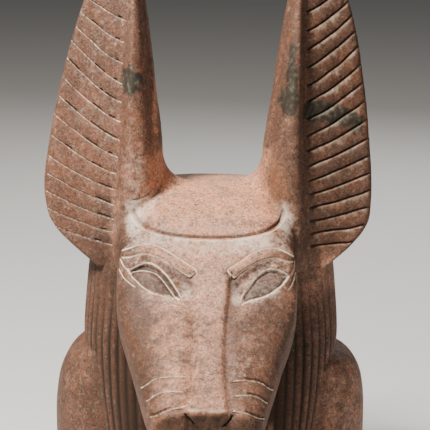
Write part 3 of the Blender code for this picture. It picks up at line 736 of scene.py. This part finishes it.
def ear_groove(side, level, slope, rng):
    """The front view of one groove of an ear, from its hooked inner end to the ear's edge."""
    start = ear_line(EAR_BOUNDARY, level, side) + GROOVE_INSET
    end = ear_line(EAR_OUTER, min(level + GROOVE_LIFT, 1.0), side) + GROOVE_INSET
    lean = EAR_LEAN * max(level, 0)
    share = np.linspace(0, 1, 25)
    wobble = GROOVE_WOBBLE * np.interp(share, np.linspace(0, 1, 6), rng.normal(0, 1, 6))
    rise = slope * (end - start) * share**GROOVE_HOOK
    z = CROWN_HEIGHT + level * EAR_HEIGHT + rise + wobble
    return np.column_stack([side * (start + share * (end - start)) + lean, z])


def wig_edge():
    angle = np.linspace(0, math.pi, 49)
    x, y = superellipse(angle, 2.2)
    out = -x * WIG_EDGE_REACH
    height = WIG_EDGE_TOP - y * (WIG_EDGE_TOP - WIG_EDGE_BOTTOM)
    return np.column_stack([out * HEAD_WIDTH / 2 - np.abs(out) * FACE_UNEVENNESS, height * CROWN_HEIGHT])


def carved_lines(rng):
    """Every incised line, from its front view."""
    # After its dust, each cut gives the strength of the painted shade in its groove, then of the painted
    # highlight on its lower lip
    lines = [
        Cut(wig_edge(), 0.0022, 0.0050, 0.0042, 0.0, 0.56, 0.8),
        Cut(drawn(LIP_CLEFT, 1, 4), 0.002, 0.002, 0.0025, 0.0, 0.6),
        Cut(drawn(SCRATCH, 1, 4), 0.0010, 0.0010, 0.0006, 0.8, 0.0),
        Cut(drawn(BROW_LINK, 1, 4), 0.0008, 0.0008, 0.0004, 0.35, 0.0),
        Cut(spline(RIM_LINE, 4), 0.0012, 0.0012, 0.0010, 0.6, 0.0),
        Cut(spline(FOOT_CREASE, 4), 0.0012, 0.0020, 0.0015, 0.0, 0.55),
    ]
    for side in (-1, 1):
        left = side < 0
        level, step, growth = GROOVE_STEPS[side]
        slope = smooth(GROOVE_SLOPES[side])
        while level < HIGHEST_GROOVE:
            line = ear_groove(side, level, slope(level), rng)
            lines.append(Cut(line, *GROOVE_CUT[side]))
            share = np.linspace(0, 1, len(line))
            for low, high, chance in SHADED_DASHES[side]:
                begun = rng.uniform(low, high)
                ended = begun + rng.uniform(*DASH_LENGTHS)
                if rng.uniform() < chance:
                    # A chip above the groove, darkened with painted shade
                    dash = line[(share > begun) & (share < ended)] + (0.0, DASH_OFFSET)
                    lines.append(Cut(dash, 0.0012, 0.0010, 0.0024, 0.0, 0.85))
            level += step
            step += growth
        # The line where the ear's leaf meets the rim, with a little dust and the rim's painted shadow
        levels = np.linspace(-0.2, 1.0, 60)
        x = side * (ear_line(EAR_BOUNDARY, levels, side) + BOUNDARY_INSET) + EAR_LEAN * np.maximum(levels, 0)
        edge = np.column_stack([x, CROWN_HEIGHT + levels * EAR_HEIGHT])
        lines.append(Cut(edge, 0.0012, 0.0012, 0.0008, 0.1, 0.3))
        for shares, *sizes in (
            (BROW[side], 0.0018, 0.0020, 0.0016, 1.0, 0.0),
            (UPPER_LID[side], 0.0014, 0.0018, 0.0016, 0.92 if left else 0.82, 0.0),
            (LOWER_LID[side], 0.0030, 0.0024, 0.0013, 0.85, 0.0),
            (COSMETIC_LINE[side], 0.0014, 0.0014, 0.0013, 0.9, 0.0),
            *((shares, 0.0015, 0.0018, 0.0017, 0.76, 0.0) for shares in WHISKERS),
            (NOSTRIL, 0.0016, 0.0018, 0.0036, 0.0, 0.5 if left else 0.95),
            (BRIDGE_EDGE[side], 0.0050, 0.0050, 0.0006, 0.0, 0.28 if left else 0.46),
        ):
            lines.append(Cut(drawn(shares, side, 6), *sizes))
        line = drawn(INNER_LID if left else BRIDGE_RUB, side, 6) - (0.0, INNER_LID_OFFSET)
        lines.append(Cut(line, 0.0013, 0.0013, 0.0003, 0.9 if left else 0.6, 0.0))
        # Painted shadows above the whiskers, as shallow cuts
        for shares in WHISKERS[2:] if left else WHISKERS:
            line = drawn(shares, side, 6)[:-6] + (0.0, WHISKER_SHADE_OFFSET)
            lines.append(Cut(line, 0.0012, 0.0012, 0.0020, 0.0, 0.7))
    return lines


def traced(tree, line, side=0):
    """The line of a front view, or of a side view, laid on the surface."""
    spots = []
    for first, z in line:
        start = Vector((side, first, z)) if side else Vector((first, -1.0, z))
        spot = tree.ray_cast(start, Vector((-side, 0, 0)) if side else Vector((0, 1, 0)))[0]
        if spot is not None:
            spots.append(tuple(spot))
    return np.array(spots).reshape(-1, 3)


def nearness(points, line, reach):
    """The points within reach of the line, their distances, which lie above it, and how far along."""
    low, high = line.min(axis=0) - reach, line.max(axis=0) + reach
    near = np.flatnonzero(((points > low) & (points < high)).all(axis=1))
    some = points[near]
    best = np.full(len(some), np.inf)
    above = np.zeros(len(some), bool)
    where = np.zeros(len(some))
    for number, (a, b) in enumerate(zip(line, line[1:])):
        along = b - a
        share = np.clip((some - a) @ along / max(along @ along, 1e-12), 0, 1)
        off = some - a - share[:, None] * along
        far = np.linalg.norm(off, axis=1)
        closer = far < best
        best[closer] = far[closer]
        where[closer] = ((number + share) / (len(line) - 1))[closer]
        turn = (along[0] * off[:, 2] - along[2] * off[:, 0]) * np.sign(along[0] + 1e-9)
        above[closer] = (turn > 0)[closer]
    keep = best < reach
    return near[keep], best[keep], above[keep], where[keep]


def inside(points, outline):
    """Which points lie within the closed outline, both in front view."""
    x, z = points[:, 0], points[:, 2]
    within = np.zeros(len(points), bool)
    for (ax, az), (bx, bz) in zip(outline, np.roll(outline, -1, axis=0)):
        if az != bz:
            crosses = ((az > z) != (bz > z)) & (x < (bx - ax) * (z - az) / (bz - az) + ax)
            within ^= crosses
    return within


def ramp(value, start, end):
    """From 0 at start to 1 at end, gently at both."""
    share = np.clip((value - start) / (end - start), 0, 1)
    return share * share * (3 - 2 * share)


def fall(value, start, end):
    """From 1 at start to 0 at end, gently at both."""
    return 1 - ramp(value, start, end)


def dome(far, rounding):
    """From 0 at an edge to 1 this far inside it, as a quarter of a circle."""
    return np.sqrt(1 - (1 - np.clip(far / rounding, 0, 1)) ** 2)


def swells(points, rng, shortest, longest):
    """Smooth random swells at the points, mostly within 1 of 0, from waves of these lengths."""
    total = np.zeros(len(points))
    for length in rng.uniform(shortest, longest, WAVES):
        way = rng.normal(0, 1, 3)
        way *= 2 * math.pi / (length * np.linalg.norm(way))
        total += np.sin(points @ way + rng.uniform(0, 2 * math.pi))
    return total / math.sqrt(WAVES)


def modelled_face(points, normals, tree):
    """How far each point of the face sinks for the eyes, the brows, the bridge and the sockets."""
    sink = np.zeros(len(points))
    facing = (normals[:, 1] < -0.2) & (points[:, 1] < FACE_FRONT) & (np.abs(points[:, 0]) < HEAD_WIDTH / 2)
    some = np.flatnonzero(facing)
    face = points[some]
    depth = np.zeros(len(some))

    def distance(line):
        return nearness(face, traced(tree, line), np.inf)[1]

    for side in (-1, 1):
        brow = drawn(BROW[side], side, 5)
        band = inside(face, brow)
        depth -= np.where(band, BROW_RISE * dome(distance(np.vstack([brow, brow[:1]])), BROW_ROUNDING), 0)
        opening = inside(face, drawn(eye_outline(side), side, 5))
        below = distance(drawn(UPPER_LID[side][OUTER_CORNER:], side, 5))
        over = distance(drawn(LOWER_LID[side], side, 5))
        wall = EYE_DEPTH[side] * ramp(below, 0.0, UPPER_SLOPE) * ramp(over, 0.0, LOWER_SLOPE)
        if side < 0:
            inner = drawn(INNER_LID, side, 5)
            ball = np.vstack([inner, drawn(tuple(reversed(LOWER_LID[side])), side, 5)])
            below = np.where(inside(face, ball), distance(inner), 0.0)
        else:
            below = below - LID_WIDTH
        near = np.minimum(below, over * 1.3 - 0.0010)
        ball = BALL_RISE[side] * dome(near, BALL_ROUNDING)
        if side > 0:
            ball *= ramp(near, 0.0, 0.0050)
        depth += np.where(opening, wall - ball, 0)
        for out, height, radius, dent in EYE_HOLLOWS:
            x, z = face_point(out, height, side)
            away = np.hypot(face[:, 0] - x, face[:, 2] - z) / radius
            depth += np.where(band | opening, 0.35, 1.0) * dent * np.exp(-(away**2))
        socket = distance(drawn(SOCKET, side, 5))
        depth += np.where(band, 0.0, SOCKET_DEPTH) * np.exp(-((socket / SOCKET_WIDTH) ** 2))
        edge = drawn(BRIDGE_EDGE[side], side, 6)
        bridge = traced(tree, edge)
        outward = side * (face[:, 0] - np.interp(face[:, 2], bridge[::-1, 2], bridge[::-1, 0])) > 0
        width = np.where(outward, CHEEK_CREASE, BRIDGE_CREASE)
        crease = CREASE_DEPTH[side] + CREASE_DEEPER[side] * ramp(face[:, 2], 0.285, 0.310)
        depth += crease * np.exp(-((distance(edge) / width) ** 2))
    sink[some] = depth
    return sink


def spotted(points, spots):
    """The strongest of several soft-edged spots, in front view."""
    most = np.zeros(len(points))
    for x, z, width, height, strength in spots:
        away = np.hypot((points[:, 0] - x) / width, (points[:, 2] - z) / height)
        most = np.maximum(most, strength * fall(away, 0.5, 1.5))
    return most


def line_stains(points, cuts):
    """Dust, painted shade and the painted highlight below each line at each point, from the lines near it."""
    dust, dirt, lip = np.zeros((3, len(points)))
    for bottom, cut in cuts:
        reach = 1.1 * math.hypot(max(cut.above, cut.below), cut.depth)
        near, far, higher, _ = nearness(points, bottom, 1.5 * reach)
        share = np.clip(1 - far / reach, 0, 1)
        dust[near] = np.maximum(dust[near], cut.dust * share)
        dirt[near] = np.maximum(dirt[near], cut.dirt * share)
        beside = 1 - np.clip(np.abs(far / reach - HIGHLIGHT_PLACE) / HIGHLIGHT_WIDTH, 0, 1)
        lip[near] = np.maximum(lip[near], np.where(higher, 0.0, cut.lip * beside))
    return dust * fall(dirt, 0.5, 0.9), dirt, lip


def lock_groove_shade(points, lock_points, grooves):
    """Painted shade between the wig's locks, for the points that come from its loft."""
    nearest = KDTree(len(lock_points))
    for i, point in enumerate(lock_points):
        nearest.insert(point, i)
    nearest.balance()
    found = [nearest.find(point)[1:] for point in points]
    return np.array([grooves[lock] if far < LOCK_MATCH else 0.0 for lock, far in found])


def on_face(points, shares, side, closed=False):
    """Which points lie on the face within the outline."""
    return inside(points, drawn(shares, side, 5, closed)) & (points[:, 1] < FACE_FRONT)


def worn_stone(points, front):
    """How pale and worn each point is: the face, the crown, the shoulders and spots. The right of the lower
    face is less pale as painted shade, and one spot is painted light.
    """
    x, y, z = points.T
    # Less pale on the right of the lower face: painted shade
    low_face = 0.52 - 0.25 * ramp(x, 0.012, 0.030) + 0.15 * fall(np.abs(x), 0.0, 0.02)
    face = np.where(z > 0.335, 1.0, low_face + (1 - low_face) * ramp(z, 0.300, 0.335))
    face *= ramp(-y, 0.055, 0.075) * fall(np.abs(x + 0.006), 0.030, 0.085 + 0.035 * ramp(z, 0.30, 0.34))
    crown = fall(np.abs(x), 0.07, 0.12) * ramp(z, 0.395, 0.41) * fall(y, 0.0, 0.10) * fall(z, 0.46, 0.50)
    shoulders = np.where(x > 0, 0.40, 0.10) * fall(z, 0.20, 0.27) * ramp(np.abs(x), 0.135, 0.15)
    lappet_top = 0.40 * ramp(x, 0.085, 0.11) * ramp(z, 0.27, 0.32) * fall(z, 0.34, 0.37)
    return np.maximum.reduce([face, crown, shoulders, lappet_top, front * spotted(points, PALE_SPOTS)])


def shaded_stone(points, normals, front):
    """How dark each point is: painted shade between wig and face and in spots, painted shade with darker
    stone behind the lappets, painted shade on the left eye's ledge, and the dirty front of the nose.
    """
    x, y, z = points.T
    # Painted shade between wig and face; behind the lappets it is painted shade together with darker stone
    right = ramp(x, 0.08, 0.11)
    beside = ramp(-y, 0.035, 0.050) * fall(z, 0.36, 0.40) * fall(np.abs(x), 0.095, 0.150)
    behind = 0.46 * fall(z, 0.36, 0.40) * (1 - 0.45 * ramp(np.abs(x), 0.14, 0.155))
    deep = np.maximum(beside * (1 - 0.5 * right), behind * (1 - 0.95 * right))
    deep = np.where((y < -0.11) | (normals[:, 1] > 0.3), 0.0, deep)
    # Painted shade on the left eye's ledge below its upper lid
    ledge = UPPER_LID[-1][OUTER_CORNER:] + tuple(reversed(INNER_LID))
    deep = np.where(on_face(points, ledge, -1), LEDGE_SHADE, deep)
    nose = ramp(-y, 0.285, 0.297) * fall(z, 0.222, 0.229) * fall(np.abs(x - NOSE_CENTRE), *NOSE_SIDES)
    return np.maximum.reduce([deep, nose, front * spotted(points, SHADE_SPOTS)])


def stains(points, triangles, cuts, lock_points, grooves):
    """The values that the granite reads at each point, each from 0 to about 1."""
    normals = normals_of(points, triangles)
    front = ramp(-normals[:, 1], -0.3, 0.1)
    x, y, z = points.T
    dust, dirt, lip = line_stains(points, cuts)
    dirt = np.maximum(dirt, lock_groove_shade(points, lock_points, grooves))
    pale = worn_stone(points, front)
    forehead = 0.36 * ramp(-y, 0.055, 0.075) * ramp(z, 0.355, 0.378)
    forehead = forehead * fall(np.abs(x), 0.085, 0.110) * fall(z, 0.388, 0.394)
    film = np.maximum(forehead, front * spotted(points, FILM_SPOTS))
    soft_shade = front * spotted(points, SOFT_SHADE_PATCHES)
    for side in (-1, 1):
        eye = on_face(points, eye_outline(side), side)
        lid = BROW[side][BROW_TOPS:] + tuple(reversed(LOWER_LID[side])) + ((0.24, 0.742),)
        lid = on_face(points, lid, side, closed=True)
        # Painted shade on the lids below the brows and in the eyes, which are also greyer
        pale = np.where(eye, EYE_PALENESS_IN_SHADE, np.where(lid, LID_PALENESS_IN_SHADE * pale, pale))
        film = np.where(eye, EYE_FILM[side], np.where(lid, np.maximum(film, LID_FILM[side]), film))
        film = np.where(on_face(points, BROW[side], side), BROW_FILM * film, film)
        # Painted shade in the eyes
        soft_shade = np.where(eye, EYE_SHADE[side], soft_shade)
    pale *= 1 - spotted(points, RED_SPOTS)
    deep = shaded_stone(points, normals, front)
    crumbled = 0.0016 * swells(points, np.random.default_rng(EDGE_SEED), *CHIP_SIZES)
    edge = ramp(-y, 0.285, 0.295) * np.clip(1.1 - np.abs(z - NOSE_EDGE - crumbled) / 0.0034, 0, 1)
    # The broken front edge of the nose is worn pale
    lip = np.maximum(lip, 0.5 * edge * fall(np.abs(x - NOSE_CENTRE), 0.022, 0.030))
    found = {"dust": dust, "dirt": dirt, "lip": lip, "patina": front * spotted(points, PATINA_SPOTS)}
    return {**found, "pale": pale, "film": film, "deep": deep, "soft_shade": soft_shade}


def broken_nose(points, rng):
    """How far each point sinks where the front of the nose is broken."""
    chipped = 0.0022 * swells(points, rng, *CHIP_SIZES)
    rough = ramp(-points[:, 1], 0.286, 0.295) * fall(points[:, 2] + chipped, 0.222, 0.230)
    rough *= fall(np.abs(points[:, 0] - NOSE_CENTRE), *NOSE_SIDES)
    return rough * (NOSE_ROUGHNESS * swells(points, rng, *ROUGH_SIZES) + NOSE_LOSS)


def carved_stone(views, rng):
    """The stone without the locks: a smooth skin, made finer near lines and forms, carved and thinned out."""
    points, triangles = remeshed(join([torso(), cap(), head(), ear(-1), ear(1)]), VOXEL)
    points = relaxed(points, triangles)
    tree = BVHTree.FromPolygons(points.tolist(), triangles.tolist())
    cuts = laid(tree, views)
    forms = {}
    for side in (-1, 1):
        for name, shares in (("bridge", BRIDGE_EDGE[side]), ("socket", SOCKET), ("lid", INNER_LID)):
            forms[side, name] = traced(tree, drawn(shares, side, 6))
    for reach, wider in REFINED:
        marked = np.zeros(len(points), bool)
        for line, _ in cuts:
            marked[nearness(points, line, reach)[0]] = True
        for form in forms.values():
            marked[nearness(points, form, wider)[0]] = True
        points, triangles = refine(points, triangles, marked)
    normals = normals_of(points, triangles)
    carve = np.zeros(len(points))
    spare = np.ones(len(points), bool)
    for line, cut in cuts:
        near, far, higher, where = nearness(points, line, max(cut.above, cut.below))
        if cut.dust >= LEAST_KEPT_DUST:
            spare[near[far < KEPT_REACH]] = False
        width = np.where(higher, cut.above, cut.below)
        ends = 0.35 + 0.65 * ramp(np.minimum(where, 1 - where), 0.0, 0.1)
        carve[near] = np.maximum(carve[near], ends * cut.depth * np.clip(1 - far / width, 0, 1))
    spare[nearness(points, forms[-1, "lid"], KEPT_LID_REACH)[0]] = False
    carve += modelled_face(points, normals, tree)
    carve += HAND_CARVING * swells(points, rng, *HAND_SIZES)
    carve += broken_nose(points, rng)
    stone = mesh_object("stone", points - normals * carve[:, None], triangles)
    stone.vertex_groups.new(name="spare").add(np.flatnonzero(spare).tolist(), 1.0, "REPLACE")
    modifier = stone.modifiers.new("decimate", "DECIMATE")
    modifier.vertex_group, modifier.vertex_group_factor = "spare", 1.0
    modifier.ratio = STONE_TRIANGLES / len(triangles)
    return settled(stone)


def laid(tree, views):
    """The lines that meet the surface, laid on it, each with its cut."""
    lines = [(traced(tree, line, side), cut) for line, side, cut in views]
    return [(line, cut) for line, cut in lines if len(line) > 1]


def main():
    """The carved bust's points, triangles and stains, about its own axis."""
    rng = np.random.default_rng(CARVING_SEED)
    views = [(cut.line, 0, cut) for cut in carved_lines(rng)]
    profile = spline([(-reach * NOSE_REACH, height * CROWN_HEIGHT) for reach, height in MOUTH], 6)
    # The mouth's line, with a little dust and painted shade
    mouth = Cut(profile, 0.0022, 0.0022, 0.0030, 0.1, 0.8)
    views += [(mouth.line, side, mouth) for side in (-1, 1)]
    stone = carved_stone(views, rng)
    locks, lock_points, grooves = wig(rng)
    points, triangles = combined(stone, locks, "UNION")
    tree = BVHTree.FromPolygons(points.tolist(), triangles.tolist())
    return points, triangles, stains(points, triangles, laid(tree, views), lock_points, grooves)


def granite():
    """Reddish granite in crystals of several colours, paler where worn, with stains and dust, painted shade
    and painted highlights.
    """
    material = bpy.data.materials.new("red_granite")
    material.use_nodes = True
    tree = material.node_tree
    shader = tree.nodes["Principled BSDF"]
    shader.inputs["Specular IOR Level"].default_value = 0.2

    def add(kind, settings, inputs):
        made = tree.nodes.new("ShaderNode" + kind)
        for name, value in settings.items():
            setattr(made, name, value)
        for socket, value in inputs.items():
            if isinstance(value, bpy.types.NodeSocket):
                tree.links.new(value, made.inputs[socket])
            else:
                made.inputs[socket].default_value = value
        return made

    def mix(share, first, second, blend="MIX"):
        first, second = ((*c, 1) if isinstance(c, tuple) else c for c in (first, second))
        kind = {"data_type": "RGBA", "blend_type": blend}
        return add("Mix", kind, {0: share, 6: first, 7: second}).outputs[2]

    def maths(operation, first, second=0.0, third=0.0):
        return add("Math", {"operation": operation}, {0: first, 1: second, 2: third}).outputs[0]

    def noise(scale, detail, place):
        return add("TexNoise", {}, {"Vector": place, "Scale": scale, "Detail": detail}).outputs["Fac"]

    def grain(scale, place):
        cells = add("TexVoronoi", {}, {"Vector": place, "Scale": scale})
        return add("SeparateColor", {}, {0: cells.outputs["Color"]}).outputs[0]

    def colours(value, stops):
        made = add("ValToRGB", {}, {0: value})
        band = made.color_ramp.elements
        while len(band) < len(stops):
            band.new(0.5)
        for element, (at, colour) in zip(band, stops):
            element.position, element.color = at, (*colour, 1)
        return made.outputs[0]

    def fade(value, start, end):
        ends = {"Value": value, "From Min": start, "From Max": end}
        return add("MapRange", {"interpolation_type": "SMOOTHSTEP"}, ends).outputs[0]

    def read(name):
        return add("Attribute", {"attribute_name": name}, {}).outputs["Fac"]

    def times(value, share):
        return maths("MULTIPLY", value, share)

    def varied(value, pattern, amount):
        return maths("MULTIPLY_ADD", maths("SUBTRACT", pattern, 0.5), amount, value)

    own = add("TexCoord", {}, {}).outputs["Object"]
    stir = add("TexNoise", {}, {"Vector": own, "Scale": 260.0, "Detail": 2.0}).outputs["Color"]
    bend = (0.004, 0.004, 0.004)
    bent = add("VectorMath", {"operation": "MULTIPLY_ADD"}, {0: stir, 1: bend, 2: own}).outputs[0]
    tall = add("VectorMath", {"operation": "MULTIPLY"}, {0: own, 1: (1.0, 1.0, 0.12)}).outputs[0]
    crystals, fine = grain(560.0, bent), grain(1100.0, bent)
    broad, patchy, cloudy = noise(11.0, 4.0, own), noise(48.0, 4.0, own), noise(130.0, 6.0, own)

    pale = fade(varied(varied(read("pale"), patchy, 0.7), cloudy, 0.7), 0.0, 1.0)
    colour = mix(pale, colours(crystals, PLAIN_STONE), colours(crystals, WORN_STONE))
    for pattern, share, stops in (
        (broad, 1.0, CAST),
        (patchy, 0.9, MOTTLE),
        (cloudy, 0.8, CLOUDS),
        (noise(230.0, 2.0, own), 0.9, BLOTCHES),
    ):
        colour = mix(share, colour, colours(pattern, stops), "MULTIPLY")
    above = add("SeparateXYZ", {}, {0: own}).outputs[2]
    colour = mix(times(pale, fade(above, 0.400, 0.412)), colour, CROWN_TINT, "MULTIPLY")
    bare = times(fade(above, 0.40, 0.34), maths("SUBTRACT", 1.0, pale))
    streaks = times(fade(noise(70.0, 3.0, tall), 0.52, 0.72), bare)
    colour = mix(times(streaks, 0.5), colour, STREAK)
    colour = mix(times(fade(fine, 0.93, 0.96), 0.30), colour, LIGHT_SPECK, "LIGHTEN")
    colour = mix(times(fade(fine, 0.08, 0.05), 0.45), colour, DARK_SPECK)

    wisps = maths("ADD", maths("SUBTRACT", cloudy, 0.5), maths("SUBTRACT", noise(320.0, 3.0, own), 0.5))
    veil = fade(maths("MULTIPLY_ADD", wisps, 1.1, read("film")), 0.05, 1.1)
    colour = mix(times(veil, 0.85), colour, FILM)
    spots = fade(varied(read("patina"), noise(85.0, 4.0, own), 1.5), 0.35, 0.65)
    colour = mix(times(spots, 0.9), colour, colours(noise(160.0, 3.0, own), PATINA))
    # Painted shade, dark and soft; the dark one also darkens the dirty broken nose
    for name, shade in (("deep", SHADE_AND_DIRT_COLOUR), ("soft_shade", SOFT_SHADE_COLOUR)):
        amount = {0: varied(read(name), cloudy, 0.5), 1: 0.9}
        amount = add("Math", {"operation": "MULTIPLY", "use_clamp": True}, amount).outputs[0]
        colour = mix(amount, colour, shade)
    dust = fade(varied(read("dust"), noise(260.0, 4.0, own), 0.55), 0.44, 0.80)
    # The painted highlight below the lines, and the worn edge of the nose, take the dust's colour
    highlight_and_wear = fade(varied(read("lip"), cloudy, 0.5), 0.16, 0.8)
    dust = maths("MAXIMUM", times(dust, 0.84), times(highlight_and_wear, 0.55))
    colour = mix(dust, colour, DUST)
    # Painted shade in the grooves and creases and between the locks
    colour = mix(times(fade(varied(read("dirt"), cloudy, 0.5), 0.15, 0.90), 0.9), colour, CREASE_SHADE_COLOUR)
    tree.links.new(colour, shader.inputs["Base Color"])

    rough = maths("MULTIPLY_ADD", noise(300.0, 2.0, own), 0.25, 0.45)
    rough = maths("ADD", rough, times(dust, 0.25))
    tree.links.new(rough, shader.inputs["Roughness"])
    height = maths("MULTIPLY_ADD", fine, 0.35, noise(620.0, 3.0, own))
    height = maths("MULTIPLY_ADD", crystals, 0.3, height)
    bump = add("Bump", {}, {"Strength": 0.35, "Distance": 0.0006, "Height": height})
    tree.links.new(bump.outputs[0], shader.inputs["Normal"])
    return material


points, triangles, stained = main()
middle = np.mean([points.min(axis=0), points.max(axis=0)], axis=0)
shift = np.mean(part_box("anubis_bust"), axis=0) - middle
shift[2] = 0.0
bust = mesh_object("carved_bust", points + shift, triangles)
for name, values in stained.items():
    bust.data.attributes.new(name, "FLOAT", "POINT").data.foreach_set("value", values.astype(np.float32))
bust.data.shade_smooth()
bust.data.set_sharp_from_angle(angle=math.radians(50))
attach(bust, "root")
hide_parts("anubis_bust")
bust.data.materials.append(granite())

# Camera
elevation, distance = math.radians(12), 2.4
aim = Vector((0.0042, -0.10, 0.4124)) + Vector(shift)
back = Vector((0, -math.cos(elevation), math.sin(elevation)))
camera = bpy.data.objects.new("camera", bpy.data.cameras.new("camera"))
bpy.context.scene.collection.objects.link(camera)
camera.location = aim + back * distance
turn = back.to_track_quat("Z", "Y").to_matrix() @ Matrix.Rotation(math.radians(0.5), 3, "Z")
camera.rotation_euler = turn.to_euler()
camera.data.lens = 167.4
camera.data.sensor_width = 36
bpy.context.scene.camera = camera


def lamp(name, place, power, size, colour):
    data = bpy.data.lights.new(name, "AREA")
    data.energy, data.size, data.color = power, size, colour
    light = bpy.data.objects.new(name, data)
    light.location = place
    light.rotation_euler = (Vector(place) - Vector((0, 0, 0.4))).to_track_quat("Z", "Y").to_euler()
    bpy.context.scene.collection.objects.link(light)


lamp("key", (-1.10, -0.95, 2.60), 200, 0.5, (1.0, 0.95, 0.89))
lamp("fill", (1.8, -1.6, 1.2), 4, 1.6, (0.95, 0.97, 1.0))
lamp("back", (0.6, 2.4, 1.8), 24, 1.6, (1.0, 0.98, 0.96))

world = bpy.data.worlds.new("studio")
world.use_nodes = True
world.node_tree.nodes["Background"].inputs["Color"].default_value = (0.8, 0.8, 0.8, 1)
world.node_tree.nodes["Background"].inputs["Strength"].default_value = 0.07
bpy.context.scene.world = world

floor = mesh_object(
    "floor",
    np.array([(-6.0, -6.0, 0.0), (6.0, -6.0, 0.0), (6.0, 12.0, 0.0), (-6.0, 12.0, 0.0)]),
    np.array([(0, 1, 2), (0, 2, 3)]),
)
paint = bpy.data.materials.new("pale_floor")
paint.use_nodes = True
paint.node_tree.nodes["Principled BSDF"].inputs["Base Color"].default_value = (0.75, 0.74, 0.72, 1)
paint.node_tree.nodes["Principled BSDF"].inputs["Roughness"].default_value = 0.8
floor.data.materials.append(paint)
